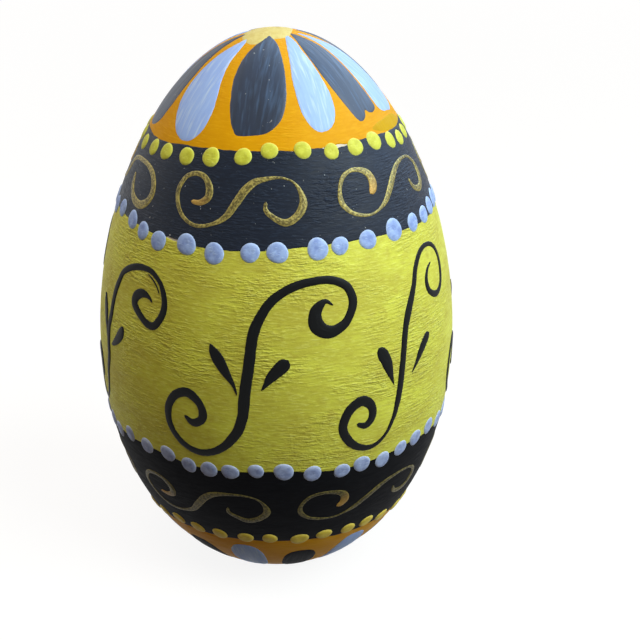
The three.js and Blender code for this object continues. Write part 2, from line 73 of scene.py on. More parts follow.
# Places on the egg

def side_profile():
    """Radius, height and outward direction at close steps down the side."""
    half = EGG_LENGTH / 2
    middle = half - FACED_OFF
    widest = (1 - math.sqrt(1 + 8 * TOP_SLIMMING**2)) / (4 * TOP_SLIMMING)
    fullest = math.sqrt(1 - widest**2) * (1 - TOP_SLIMMING * widest)
    scale = EGG_DIAMETER / 2 / fullest
    tilt = np.linspace(math.pi / 2, math.asin(-middle / half), PROFILE_STEPS)
    sine, cosine = np.sin(tilt), np.cos(tilt)
    radius = scale * cosine * (1 - TOP_SLIMMING * sine)
    height = middle + half * sine
    radius_growth = scale * (TOP_SLIMMING * (sine**2 - cosine**2) - sine)
    height_growth = half * cosine
    length = np.hypot(radius_growth, height_growth)
    steps = np.hypot(np.diff(radius), np.diff(height))
    down = np.concatenate([[0], np.cumsum(steps)])
    return down, radius, height, height_growth / length, -radius_growth / length


DOWN, RADIUS, HEIGHT, OUTWARD, UPWARD = side_profile()
SIDE_LENGTH = DOWN[-1]

# The bottom petals meet at the pole that was faced off, a little more than the base's radius on
PAST_BASE_RADIUS = 0.2
BOTTOM_POLE = SIDE_LENGTH + RADIUS[-1] + PAST_BASE_RADIUS


def off_side(down, lift):
    """Radius and height of a place that stands so far off the side."""
    reach = np.interp(down, DOWN, RADIUS) + lift * np.interp(down, DOWN, OUTWARD)
    height = np.interp(down, DOWN, HEIGHT) + lift * np.interp(down, DOWN, UPWARD)
    return reach, height


def on_egg(turn, down, lift):
    """Points in metres. All three may be arrays of one shape."""
    turn, down, lift = np.broadcast_arrays(np.radians(turn), down, lift)
    reach, height = off_side(down, lift)
    return np.stack([reach * np.sin(turn), -reach * np.cos(turn), height], -1) * MM


def per_degree(down):
    """Millimetres round the egg for each degree of turn."""
    return np.radians(np.interp(down, DOWN, RADIUS))


# Each seam's usual place, and how a hand-held brush wandered there, as
# [share of the most, waves round the egg, turn of a crest]
SEAMS = {
    "top_cap": (TOP_CAP_WIDTH, [[1, 1, 63]]),
    "upper_band": (TOP_CAP_WIDTH + UPPER_BAND_WIDTH, [[0.2, 1, 90], [0.5, 4, 24]]),
    "lower_band": (SIDE_LENGTH - BOTTOM_CAP_WIDTH - LOWER_BAND_WIDTH, [[0.45, 8, 2]]),
    "bottom_cap": (SIDE_LENGTH - BOTTOM_CAP_WIDTH, [[0.3, 5, 0]]),
}

# Where a seam sags further down: turn, half width in degrees, how far
SAGS = {"top_cap": [[-59, 13, 0.42], [68, 12, 0.25]]}

# Where the white primer was left showing along a seam: turn, half width in degrees, gap
PEEKS = {
    "top_cap": [[29, 6.5, 0.55], [9, 3, 0.2], [150, 8, 0.4], [262, 5, 0.45]],
    "upper_band": [[-35, 3, 0.5], [131, 5, 0.4], [214, 4, 0.35]],
    "lower_band": [[118, 5, 0.3], [203, 6, 0.3]],
    "bottom_cap": [[170, 6, 0.4]],
}

# How a brushed edge trembles: most, size of one tremble in millimetres, seed
TREMBLES = [(0.14, 2.6, 0), (0.06, 0.9, 7)]


def wobble(turn, fineness, seed):
    """The unsteadiness of a brushed edge, from -1 to 1, the same after a whole turn."""
    angles = np.radians(turn)
    reach = EGG_DIAMETER / 2 / fineness
    return np.array([
        noise.noise(Vector((reach * math.cos(a), reach * math.sin(a), seed)))
        for a in angles
    ])


def near(turn, middle, half_width):
    """A share that is 1 about a middle turn and falls to 0 on both sides of it."""
    away = (turn - middle + 180) % 360 - 180
    return np.exp(-((away / half_width) ** 4))


def seam_down(name, turn):
    """How far down the side a seam runs at each turn."""
    usual, waves = SEAMS[name]
    down = np.full(len(turn), float(usual))
    for share, count, crest in waves:
        down -= share * EDGE_WANDER * np.cos(np.radians(count * (turn - crest)))
    for middle, half_width, sag in SAGS.get(name, []):
        down += sag * near(turn, middle, half_width)
    for most, fineness, seed in TREMBLES:
        down += most * wobble(turn, fineness, usual + seed)
    return down


def peek_gap(name, turn):
    """How far apart the two coats of a seam stay at each turn."""
    gap = np.zeros(len(turn))
    for middle, half_width, widest in PEEKS[name]:
        gap += widest * near(turn, middle, half_width)
    return gap * (0.75 + 0.5 * wobble(turn, fineness=1.3, seed=3.1))


# Colours and materials

def paint(colour):
    """A colour typed as sRGB hex, as Blender's linear red, green, blue and alpha."""
    parts = [int(colour[i:i + 2], 16) / 255 for i in (1, 3, 5)]
    linear = [p / 12.92 if p <= 0.04045 else ((p + 0.055) / 1.055) ** 2.4 for p in parts]
    return (*linear, 1)


def add_node(tree, kind, settings=None, links=None):
    """Adds a node. A link's value is a socket of another node, or a plain setting."""
    made = tree.nodes.new(kind)
    for name, value in (settings or {}).items():
        setattr(made, name, value)
    for name, value in (links or {}).items():
        if isinstance(value, bpy.types.NodeSocket):
            tree.links.new(value, made.inputs[name])
        else:
            made.inputs[name].default_value = value
    return made


def new_material(name):
    """An empty material and its node tree."""
    material = bpy.data.materials.new(name)
    material.use_nodes = True
    material.node_tree.nodes.clear()
    return material, material.node_tree


def marks(tree, along, across, low, high, detail=3):
    """Noise drawn out along the brush's way, as a share that grows from 0 where the noise
    is low to 1 where it is high. Along and across are its marks' sizes in millimetres."""
    way = add_node(tree, "ShaderNodeAttribute", {"attribute_name": "brush_way"})
    drawn = add_node(tree, "ShaderNodeVectorMath", {"operation": "MULTIPLY"}, {
        0: way.outputs["Vector"], 1: (1 / along, 1 / along, 1 / across),
    })
    spots = add_node(tree, "ShaderNodeTexNoise", {}, {
        "Vector": drawn.outputs[0], "Scale": 1, "Detail": detail, "Roughness": 0.55,
    })
    share = add_node(tree, "ShaderNodeMapRange", {}, {
        "Value": spots.outputs["Fac"], "From Min": low, "From Max": high,
    })
    return share.outputs["Result"]


def laid_over(tree, ground, *layers):
    """Colours laid over a ground colour, each given as [share, the most it covers, colour]."""
    MIX_A, MIX_B, MIX_RESULT = 6, 7, 2
    for share, most, colour in layers:
        cover = add_node(tree, "ShaderNodeMath", {"operation": "MULTIPLY"}, {
            0: share, 1: most,
        })
        mixed = add_node(tree, "ShaderNodeMix", {"data_type": "RGBA"}, {
            0: cover.outputs[0], MIX_A: ground, MIX_B: paint(colour),
        })
        ground = mixed.outputs[MIX_RESULT]
    return ground


def skin(tree, colour, roughness, shine, relief, depth, metallic=0.0):
    """The outer surface, with a relief that is so many millimetres deep."""
    bump = add_node(tree, "ShaderNodeBump", {}, {
        "Height": relief, "Strength": 1, "Distance": depth * MM,
    })
    surface = add_node(tree, "ShaderNodeBsdfPrincipled", {}, {
        "Base Color": colour, "Roughness": roughness, "Normal": bump.outputs[0],
        "Specular IOR Level": shine, "Metallic": metallic,
    })
    add_node(tree, "ShaderNodeOutputMaterial", {}, {"Surface": surface.outputs[0]})


def brushed_acrylic(
        name, full, thin, pale, ridge, drag, depth, roughness, shine, stipple=0.0, specks=0.0):
    """Craft acrylic laid on with a flat brush. It dries satin, with fine bristle ridges
    along the brush's way, deeper in some places than in others, thin places where the coat
    below shows through, and crests that are painted paler as a painted highlight where the
    ridges catch the light. Full and thin are the paint's colours, pale is the colour of the
    painted highlight, ridge is the ridges' spacing, drag is their length, stipple is the share
    of lift-off points, where the wet paint clung to the bristles, and specks is the share of
    pale dust in it."""
    material, tree = new_material(name)
    patches = marks(tree, along=11, across=6, low=0.36, high=0.66)
    blots = marks(tree, along=2.2, across=1.4, low=0.56, high=0.74)
    streaks = marks(tree, along=drag, across=ridge, low=0.36, high=0.66)
    # Crests of the ridges, raised in the relief and painted in the pale colour as a painted
    # highlight
    crests_and_highlights = marks(tree, along=drag / 2, across=0.7 * ridge, low=0.5, high=0.76, detail=2)
    dust = marks(tree, along=0.6, across=0.6, low=0.76, high=0.82, detail=1)
    colour = laid_over(
        tree, paint(full), [patches, 0.55, thin], [blots, 0.5, thin],
        [streaks, 0.35, thin], [crests_and_highlights, 0.5, pale], [dust, specks, "#B8BEC0"])
    ridges = add_node(tree, "ShaderNodeMath", {"operation": "ADD"}, {0: streaks, 1: crests_and_highlights})
    lifted_off = marks(tree, along=0.75, across=0.55, low=0.42, high=0.75, detail=2)
    points = add_node(tree, "ShaderNodeMath", {"operation": "MULTIPLY_ADD"}, {
        0: lifted_off, 1: stipple, 2: ridges.outputs[0],
    })
    pressed = add_node(tree, "ShaderNodeMapRange", {}, {
        "Value": marks(tree, along=15, across=9, low=0.44, high=0.64),
        "To Min": 0.15, "To Max": 1,
    })
    relief = add_node(tree, "ShaderNodeMath", {"operation": "MULTIPLY"}, {
        0: points.outputs[0], 1: pressed.outputs[0],
    })
    satin = add_node(tree, "ShaderNodeMapRange", {}, {
        "Value": streaks, "To Min": roughness - 0.05, "To Max": roughness + 0.08,
    })
    skin(tree, colour, satin.outputs[0], shine, relief.outputs[0], depth)
    return material


def dabbed_acrylic(name, full, deep, pale):
    """Thick craft acrylic dropped from a round tool. It skins over smooth and satin,
    deeper in colour where it sank, and paler round its rim and where the skin wrinkled."""
    material, tree = new_material(name)
    rim = add_node(tree, "ShaderNodeAttribute", {"attribute_name": "stroke_edge"})
    wrinkles = marks(tree, along=0.9, across=0.3, low=0.55, high=0.78)
    sunken = marks(tree, along=1.1, across=1.1, low=0.4, high=0.65, detail=2)
    colour = laid_over(
        tree, paint(full), [sunken, 0.8, deep], [wrinkles, 0.5, pale],
        [rim.outputs["Fac"], 0.5, pale])
    skin(tree, colour, roughness=0.5, shine=0.14, relief=wrinkles, depth=0.03)
    return material


def metallic_acrylic(name, cover):
    """Gold craft acrylic: mica flakes in clear medium, which cover more where it is thick.
    It lies dark and grainy where thin, gathers bright along the edges of a stroke, and
    starts orange where the brush still held the colour before it. Real flakes are under
    0.1 mm, and they are drawn as coarse as they need to show."""
    material, tree = new_material(name)
    edge = add_node(tree, "ShaderNodeAttribute", {"attribute_name": "stroke_edge"})
    start = add_node(tree, "ShaderNodeAttribute", {"attribute_name": "stroke_start"})
    flakes = marks(tree, along=0.42, across=0.3, low=0.42, high=0.66, detail=2)
    loads = marks(tree, along=5, across=2.5, low=0.35, high=0.65, detail=2)
    colour = laid_over(
        tree, paint("#1E1C18"), [1.0, cover, "#40391B"], [loads, 0.5 * cover, "#7C7034"],
        [edge.outputs["Fac"], 0.6 * cover, "#9C8E44"], [flakes, 0.55 * cover, "#C6B55E"],
        [start.outputs["Fac"], 0.75, "#B48A3C"])
    skin(tree, colour, roughness=0.45, shine=0.4 * cover, relief=flakes, depth=0.03,
         metallic=0.25 * cover)
    return material


def turned_linden(name):
    """Linden, turned and sanded: pale, even and dull, with faint growth rings where the
    lathe cut across them and fine short pores along the grain. Real pores are under
    0.1 mm wide, and they are drawn as coarse as they need to show."""
    material, tree = new_material(name)
    place = add_node(tree, "ShaderNodeTexCoord")
    grain_way = add_node(tree, "ShaderNodeVectorMath", {"operation": "MULTIPLY"}, {
        0: place.outputs["Object"], 1: (1 / (2.1 * MM), 1 / (3.4 * MM), 1 / (30 * MM)),
    })
    rings = add_node(tree, "ShaderNodeTexWave", {"wave_type": "RINGS"}, {
        "Vector": grain_way.outputs[0], "Scale": 0.16, "Distortion": 2.5, "Detail": 2,
        "Detail Scale": 0.5,
    })
    pores = add_node(tree, "ShaderNodeTexNoise", {}, {
        "Vector": grain_way.outputs[0], "Scale": 7, "Detail": 3,
    })
    dark_pores = add_node(tree, "ShaderNodeMapRange", {}, {
        "Value": pores.outputs["Fac"], "From Min": 0.55, "From Max": 0.75,
    })
    colour = laid_over(
        tree, paint("#D9B98A"), [rings.outputs["Fac"], 1, "#C49A66"],
        [dark_pores.outputs["Result"], 1, "#A97E50"])
    skin(tree, colour, roughness=0.68, shine=0.35, relief=pores.outputs["Fac"], depth=0.02)
    return material


def chalk_primer(name):
    """White gesso under the coats, dull and slightly warm, with dragged bristle lines."""
    material, tree = new_material(name)
    drags = marks(tree, along=6, across=0.4, low=0.4, high=0.7)
    colour = laid_over(tree, paint("#DCD6C8"), [drags, 1, "#C3BCAE"])
    skin(tree, colour, roughness=0.85, shine=0.2, relief=drags, depth=0.02)
    return material


# The paints low on the egg are copies tinted as painted shade for the dim, warm light there:
# its lower black, the gold on that, which is also thinner, and two rows of dots
FINISH = {
    "wood": turned_linden("turned_linden"),
    "primer": chalk_primer("chalk_primer"),
    "orange": brushed_acrylic(
        "orange_acrylic_brushed", "#DCA006", "#D09004", "#E6B01A",
        ridge=0.42, drag=5, depth=0.025, roughness=0.55, shine=0.07),
    "black": brushed_acrylic(
        "black_acrylic_brushed", "#0F1622", "#141C2B", "#263245",
        ridge=0.4, drag=3, depth=0.12, roughness=0.48, shine=0.17, specks=0.8),
    # A darker copy of the black for the lower band and the bottom petals: painted shade for the
    # dim light low on the egg, with a duller shine
    "shaded_black": brushed_acrylic(
        "black_acrylic_brushed_painted_shade", "#0C0C0F", "#101114", "#191C21",
        ridge=0.4, drag=3, depth=0.03, roughness=0.64, shine=0.03),
    "yellow": brushed_acrylic(
        "yellow_green_acrylic_brushed", "#D8DC50", "#B0A23A", "#E8EC7A",
        ridge=0.4, drag=2.6, depth=0.115, roughness=0.56, shine=0.2, stipple=0.7),
    "mustard": brushed_acrylic(
        "mustard_acrylic_smeared", "#C69E00", "#BC9200", "#D0AA04",
        ridge=0.4, drag=5, depth=0.02, roughness=0.55, shine=0.06),
    "cream": dabbed_acrylic("cream_acrylic_dabbed", "#D4C67A", "#CAB764", "#E2D8A2"),
    "lilac_petal": brushed_acrylic(
        "lilac_acrylic_petal", "#A3C3FA", "#91AEF0", "#DAF0FF",
        ridge=0.75, drag=9, depth=0.03, roughness=0.5, shine=0.1),
    # A bluer copy of the black for the top petals, with pale blue crests: the blue is painted
    # cool sheen, and the paint is shinier
    "black_petal": brushed_acrylic(
        "black_acrylic_petal_painted_sheen", "#0F1A2B", "#1A2941", "#3F5A7A",
        ridge=0.9, drag=10, depth=0.03, roughness=0.42, shine=0.39, specks=0.4),
    "black_line": brushed_acrylic(
        "black_acrylic_line", "#08090A", "#0D0F10", "#16191B",
        ridge=0.5, drag=4, depth=0.02, roughness=0.5, shine=0.1),
    "gold": metallic_acrylic("gold_metallic_acrylic", 1),
    # The gold on the lower band is thinner, and it is also darker as painted shade for the dim
    # light there
    "thinned_gold_with_painted_shade": metallic_acrylic("gold_metallic_acrylic_thinned_painted_shade", 0.3),
    "yellow_dot": dabbed_acrylic("yellow_acrylic_dabbed", "#CDD14A", "#B9BA36", "#DEE478"),
    "lilac_dot": dabbed_acrylic("lilac_acrylic_dabbed", "#9FB9EC", "#7B90CE", "#C8E0FF"),
    # Copies of the dot paints for the two lower rows, a greyer lilac and a warmer, ochre yellow:
    # painted warm shade for the dim light low on the egg
    "yellow_dot_painted_shade": dabbed_acrylic(
        "yellow_acrylic_dabbed_painted_warm_shade", "#E2CC4C", "#CDB63C", "#EEDC78"),
    "lilac_dot_painted_shade": dabbed_acrylic(
        "lilac_acrylic_dabbed_painted_shade", "#A3B3DC", "#7E8CBC", "#CEDCF2"),
}


# Pieces

class Shape:
    """Points, faces and brush coordinates that become one piece."""

    def __init__(self):
        self.points, self.faces, self.ways, self.edges, self.starts = [], [], [], [], []
        self.count = 0

    def add_grid(self, points, ways, goes_round, edge=None, start=None):
        """Rows of points joined to their neighbours, and in a ring if it goes round."""
        rows, columns = points.shape[:2]
        number = self.count + np.arange(rows * columns).reshape(rows, columns)
        if goes_round:
            number = np.concatenate([number, number[:, :1]], 1)
        quads = np.stack([number[:-1, :-1], number[1:, :-1], number[1:, 1:], number[:-1, 1:]], -1)
        self.faces.append(quads.reshape(-1, 4))
        self.points.append(points.reshape(-1, 3))
        self.ways.append(ways.reshape(-1, 3))
        plain = np.zeros((rows, columns))
        self.edges.append((plain if edge is None else edge).ravel())
        self.starts.append((plain if start is None else start).ravel())
        self.count += rows * columns

    def make(self, name, finish, slot, *nodes):
        """Makes the piece, which rides on the one body and stands for its nodes."""
        mesh = bpy.data.meshes.new(name)
        points = np.concatenate(self.points)
        faces = np.concatenate(self.faces)
        mesh.from_pydata(points.tolist(), [], faces.tolist())
        way = mesh.attributes.new("brush_way", "FLOAT_VECTOR", "POINT")
        way.data.foreach_set("vector", np.concatenate(self.ways).astype(np.float32).ravel())
        for label, values in (("stroke_edge", self.edges), ("stroke_start", self.starts)):
            layer = mesh.attributes.new(label, "FLOAT", "POINT")
            layer.data.foreach_set("value", np.concatenate(values).astype(np.float32))
        mesh.validate()
        mesh.shade_smooth()
        mesh.materials.append(FINISH[finish])
        piece = bpy.data.objects.new(name, mesh)
        bpy.context.scene.collection.objects.link(piece)
        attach(piece, "root")
        if nodes:
            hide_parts(*nodes)


TURNS = np.arange(AROUND) * 360 / AROUND

# Slow hollows and rises of a hand-painted coat. They are noise on a ring of this radius,
# which makes each about 9 mm wide.
HOLLOW_DEPTH = 0.02
HOLLOW_RING = 3.4
HOLLOW_HEIGHT = 2.2


def around_way(turn, down):
    """Brush coordinates of a band brushed round the egg."""
    angle = np.radians(turn)
    reach = EGG_DIAMETER / 2
    return np.stack(np.broadcast_arrays(reach * np.cos(angle), reach * np.sin(angle), down), -1)


def unevenness(turn, down):
    """Where the hollows and rises of a coat lie, from -1 to 1."""
    rows = []
    for row_turn, row_down in zip(turn, down):
        angle = np.radians(row_turn)
        rows.append([
            noise.noise(Vector((
                HOLLOW_RING * math.cos(a), HOLLOW_RING * math.sin(a), d / HOLLOW_HEIGHT)))
            for a, d in zip(angle, row_down)
        ])
    return np.array(rows)


# How a coat's edge rolls over: distances from the edge, and how far each lies below the face
EDGE_ROLL = np.array([0, 0.06, 0.16, 0.32])
EDGE_DROP = np.array([0.1, 0.035, 0.01, 0])
EDGE_WIDTH = 0.5


def coat(name, finish, slot, node, top, bottom, lift, spacing=1):
    """A ground coat between two edges that change with the turn, and that roll over down
    to the layer below. Spacing is how far apart its rows of points are."""
    steps = max(2, round(float(np.mean(bottom - top)) / spacing))
    share = np.linspace(0, 1, steps + 1)[1:-1, None]
    inner = (top + EDGE_WIDTH) * (1 - share) + (bottom - EDGE_WIDTH) * share
    down = np.concatenate([
        top + EDGE_ROLL[:, None], inner, bottom - EDGE_ROLL[::-1, None],
    ])
    drops = np.concatenate([EDGE_DROP, np.zeros(len(inner)), EDGE_DROP[::-1]])[:, None]
    turn = np.broadcast_to(TURNS, down.shape)
    lifts = lift - drops + HOLLOW_DEPTH * unevenness(turn, down)
    shape = Shape()
    shape.add_grid(on_egg(turn, down, lifts), around_way(turn, down), True)
    shape.make(name, finish, slot, node)


def blank():
    """The bare turned egg, with a flat base and a softened corner."""
    base = RADIUS[-1]
    softened, softened_rise = 0.35, 0.06
    rows, columns = 90, 120
    flat = np.array([[0, 0], [0.3 * base, 0], [0.6 * base, 0], [0.85 * base, 0],
                     [base - softened, 0], [base - 0.3 * softened, softened_rise]])
    down = np.linspace(SIDE_LENGTH - softened, 0, rows)
    profile = np.concatenate([flat, np.stack(off_side(down, WOOD_LIFT), -1)])
    angle = np.radians(np.arange(columns) * 360 / columns)
    points = np.stack([
        profile[:, :1] * np.sin(angle), -profile[:, :1] * np.cos(angle),
        np.broadcast_to(profile[:, 1:], (len(profile), columns)),
    ], -1) * MM
    shape = Shape()
    shape.add_grid(points, points / MM, True)
    shape.make("egg_turned_wood", "wood", "wood", "egg_blank")


blank()

everywhere = np.zeros(AROUND)
beside_pole = everywhere + 0.01


def ends_above_rim(space, wander, fineness, seed):
    """The lower edge of a coat that stops unevenly, a small space above the bare rim."""
    return (everywhere + SIDE_LENGTH - BARE_RIM - space
            + wander * wobble(TURNS, fineness, seed))


primer_end = ends_above_rim(space=0.15, wander=0.2, fineness=3, seed=1.5)
orange_end = ends_above_rim(space=0.3, wander=0.25, fineness=2.2, seed=9.5)
coat("primer_ground", "primer", None, "coat_top_cap",
     beside_pole, primer_end, PRIMER_LIFT, spacing=2)

# A black band was brushed over its neighbours, but where primer shows it stops short
LAP = 0.28
edge = {name: seam_down(name, TURNS) for name in SEAMS}
gap = {name: peek_gap(name, TURNS) for name in SEAMS}
shut = {name: np.clip(1 - 4 * gap[name], 0, 1) for name in SEAMS}

coat("coat_orange_top", "orange", "orange_paint", "coat_top_cap",
     beside_pole, edge["top_cap"] - gap["top_cap"] / 2, COAT_LIFT)
coat("coat_yellow_wide", "yellow", "yellow_paint", "coat_wide_band",
     edge["upper_band"] + gap["upper_band"] / 2, edge["lower_band"] - gap["lower_band"] / 2,
     COAT_LIFT)
coat("coat_orange_bottom", "orange", "orange_paint", "coat_bottom_cap",
     edge["bottom_cap"] + gap["bottom_cap"] / 2, orange_end, COAT_LIFT)
coat("coat_black_upper", "black", "black_paint", "coat_upper_band",
     edge["top_cap"] + gap["top_cap"] / 2 - LAP * shut["top_cap"],
     edge["upper_band"] - gap["upper_band"] / 2 + LAP * shut["upper_band"], OVERLAP_LIFT)
# The lower band takes the darker black, which holds painted shade
coat("coat_black_lower", "shaded_black", "black_paint", "coat_lower_band",
     edge["lower_band"] + gap["lower_band"] / 2 - LAP * shut["lower_band"],
     edge["bottom_cap"] - gap["bottom_cap"] / 2 + LAP * shut["bottom_cap"], OVERLAP_LIFT)


# Patches of paint inside a drawn outline: the spot on the pole and the petals

def round_curve(corners, steps):
    """A smooth closed line through corners, with so many steps from each to the next."""
    corners = np.asarray(corners, float)
    count = len(corners)
    share = np.linspace(0, 1, steps, endpoint=False)[:, None]
    line = []
    for i in range(count):
        a, b, c, d = (corners[(i + k) % count] for k in (-1, 0, 1, 2))
        line.append(0.5 * (2 * b + (c - a) * share + (2 * a - 5 * b + 4 * c - d) * share**2
                           + (3 * b - a - 3 * c + d) * share**3))
    return np.concatenate(line)


PATCH_RINGS = np.array([0, 0.15, 0.3, 0.45, 0.6, 0.73, 0.84, 0.91, 0.955, 0.985, 1])
STEPS_PER_CORNER = 9
RAGGED, RAGGED_SIZE = 0.07, 0.9  # how far a patch strays from its outline, over what length
STREAK_LENGTH, STREAK_WIDTH = 9, 0.8


def patch(shape, outline, pole, crest, axis, seed, ridge=0.0):
    """A raised patch of paint inside an outline of [turn, down] corners. It was brushed
    along the axis, a turn in degrees, away from the pole. Ridge is its bristle marks'
    height."""
    turn, down = np.array(outline, float).T
    reach = np.abs(down - pole)
    flat = np.stack([reach * np.sin(np.radians(turn)), reach * np.cos(np.radians(turn))], -1)
    line = round_curve(flat, STEPS_PER_CORNER)
    step = np.roll(line, -1, 0) - np.roll(line, 1, 0)
    across = np.stack([step[:, 1], -step[:, 0]], -1)
    across /= np.linalg.norm(across, axis=1, keepdims=True)
    ragged = np.array([
        RAGGED * noise.noise(Vector((x / RAGGED_SIZE, y / RAGGED_SIZE, seed)))
        for x, y in line
    ])
    line = line + across * ragged[:, None]
    middle = line.mean(0)
    rings = PATCH_RINGS[:, None]
    points = middle + rings[..., None] * (line - middle)
    reach = np.hypot(points[..., 0], points[..., 1])
    turns = np.degrees(np.arctan2(points[..., 0], points[..., 1]))
    downs = pole + reach * (1 if pole == 0 else -1)
    away = np.radians(turns - axis)
    along, aside = reach * np.cos(away), reach * np.sin(away)
    streaks = np.array([[
        noise.noise(Vector((a / STREAK_LENGTH, b / STREAK_WIDTH, seed + 4)))
        for a, b in zip(*pair)
    ] for pair in zip(along, aside)])
    crown = STROKE_FOOT + (crest - STROKE_FOOT) * (1 - rings ** 9) ** 0.55
    lifts = crown + ridge * streaks * (1 - rings ** 4)
    ways = np.stack([along, np.full_like(along, 13.0 * seed), aside], -1)
    shape.add_grid(on_egg(turns, downs, lifts), ways, True)


HUB_OUTLINE = [
    [0, 5], [28, 4.4], [52, 3.3], [80, 2.8], [108, 3], [138, 3.8], [166, 4.2],
    [196, 5.2], [224, 4.7], [252, 5.2], [282, 5.6], [306, 6.6], [328, 7], [345, 6],
]
hub = Shape()
patch(hub, HUB_OUTLINE, pole=0, crest=-0.04, axis=0, seed=2.7, ridge=0.02)
hub.make("hub_cream_spot", "cream", "cream_paint", "hub_spot")

# Outlines of the petals on the top cap and of a smear beside them, as [turn, down] corners
# from the tip round
FAR_LEFT_BLACK = [
    [-79, 4.5], [-71.5, 8], [-68.5, 12], [-66.2, 16.8], [-66.6, 21.2], [-69, 24.6],
    [-74, 26.2], [-81, 26.6], [-88, 25.4], [-91.5, 22], [-92, 17], [-91, 12], [-88, 8],
]
LEFT_LILAC = [
    [-52, 5.4], [-42.5, 8], [-40.2, 11.4], [-36.9, 15.1], [-33.8, 18.2], [-32.8, 20.5],
    [-33.4, 22.8], [-35.6, 24.7], [-39.6, 26.1], [-45, 26.3], [-51, 25.2], [-56.4, 23],
    [-61.2, 20.1], [-63.4, 17.1], [-63.9, 13.8], [-62, 10.5], [-57, 7.4],
]
FRONT_BLACK = [
    [-17, 2.9], [-1, 4.8], [5.5, 6.6], [8.2, 9.5], [9, 13], [8.6, 16.4], [7, 19.3],
    [4.1, 21.6], [-1, 23.3], [-7, 23.9], [-15.6, 24.2], [-19, 23.2], [-22, 21.2],
    [-24.6, 18.6], [-28.2, 14.8], [-30, 11], [-28, 7.6], [-24, 5.6],
]
RIGHT_LILAC = [
    [29, 3.5], [35, 5.6], [33.2, 8.2], [34.6, 11.2], [35.4, 14.5], [36, 17.2], [34.8, 20],
    [32, 22.2], [27.8, 23.4], [22.6, 23.6], [19, 22.6], [15.6, 20.4], [14, 17.3],
    [13.4, 13.8], [14.6, 10.4], [16.6, 7.1],
]
RIGHT_BLACK = [
    [50, 3.2], [62, 5.6], [66, 8.8], [65.6, 12.7], [65, 16.8], [65.2, 20.3],
    [64.4, 21.7], [61, 22.2], [57.4, 22.2], [54.6, 21.6], [52.4, 22.5], [49.6, 23.1],
    [46.6, 22.9], [44, 21.3], [39.8, 17.6], [36.2, 13.5], [34.6, 9.6], [36.6, 6],
]
BACK_BLACK = [
    [50, 3.2], [58, 5.8], [61, 8.8], [62.6, 12.7], [63.4, 16.8], [64.4, 20.3],
    [64, 21.9], [61, 22.6], [56, 23.2], [51, 23.4], [46.6, 23.1], [43.4, 21.4],
    [40, 17.6], [37.2, 13.5], [37, 9.4], [39, 6],
]
SMEAR_OUTLINE = [
    [52.4, 24.7], [57, 24.1], [63.6, 23.9], [71, 23.8], [79, 24.2], [85, 25.1], [85.6, 26],
    [79, 26.3], [72, 26.3], [66, 26.1], [60, 25.7], [55, 25.3],
]
FAR_RIGHT_LILAC = [
    [71, 3.7], [84, 6.4], [94, 10], [96, 15], [94, 19.6], [90, 22.6], [82, 23.6],
    [76, 23.3], [70.6, 23], [67, 21.7], [66.4, 18], [66.6, 14.6], [68.2, 10.4], [70, 7.2],
]


def moved(outline, by):
    """An outline turned round the egg by so many degrees."""
    return [[turn + by, down] for turn, down in outline]


PETAL_SLOT = {"black": "black_brush_paint", "lilac": "lilac_paint"}


def petal(node, kind, finish, outline, pole, axis, seed):
    """One petal, pulled away from the pole in a stroke of a full round brush."""
    shape = Shape()
    patch(shape, outline, pole, crest=0, axis=axis, seed=seed, ridge=0.03)
    shape.make(f"{node}_brushed", finish, PETAL_SLOT[kind], node)


# Each petal of the top cap with its outline and axis, the ones at the back after the others
TOP_PETALS = [
    ("black_1", FAR_LEFT_BLACK, -79),
    ("lilac_1", LEFT_LILAC, -45),
    ("black_2", FRONT_BLACK, -11),
    ("lilac_2", RIGHT_LILAC, 25),
    ("black_3", RIGHT_BLACK, 53),
    ("lilac_3", FAR_RIGHT_LILAC, 80.5),
]
BACK_FROM, BACK_TO, BACK_PETALS = 95, 265, 6
for place in range(BACK_PETALS):
    axis = BACK_FROM + (BACK_TO - BACK_FROM) / BACK_PETALS * (place + 0.5)
    number = 4 + place // 2
    outline, drawn_axis, kind = (
        (BACK_BLACK, 50.8, "black") if place % 2 == 0 else (RIGHT_LILAC, 24.7, "lilac")
    )
    TOP_PETALS.append((f"{kind}_{number}", moved(outline, axis - drawn_axis), axis))

for number, (label, outline, axis) in enumerate(TOP_PETALS):
    kind = label.split("_")[0]
    petal(f"petal_top_{label}", kind, f"{kind}_petal", outline, pole=0, axis=axis,
          seed=5 + number)

smear = Shape()
patch(smear, SMEAR_OUTLINE, pole=0, crest=-0.06, axis=66, seed=3.3)
smear.make("smear_of_mustard_paint", "mustard", None)

# Outlines round the bottom pole, with turns from the petal's axis
BOTTOM_BLACK = [
    [0, 113.8], [6, 112.4], [8.4, 109.5], [8.8, 106], [7.6, 102.9], [4.6, 101.1],
    [0, 100.7], [-4.6, 101.2], [-7.6, 103], [-8.8, 106], [-8.4, 109.4], [-6, 112.2],
]
BOTTOM_LILAC = [
    [0, 113.8], [6, 112], [8.6, 108.8], [8.8, 104.6], [7.4, 101.2], [4.4, 99.2],
    [0, 98.6], [-4.4, 99.1], [-7.4, 101.3], [-8.8, 104.8], [-8.6, 109], [-6, 112.2],
]
BOTTOM_PETALS = 14
for place in range(BOTTOM_PETALS):
    kind = "black" if place % 2 == 0 else "lilac"
    axis = (place + 0.5) * 360 / BOTTOM_PETALS
    outline = moved(BOTTOM_BLACK if kind == "black" else BOTTOM_LILAC, axis)
    # The bottom black petals take the darker black, which holds painted shade
    finish = "shaded_black" if kind == "black" else "lilac_petal"
    petal(f"petal_bottom_{kind}_{place // 2 + 1}", kind, finish, outline,
          pole=BOTTOM_POLE, axis=axis, seed=31 + place)


# Brush strokes

CURVE_STEPS = 40  # close enough together to measure the line's length by


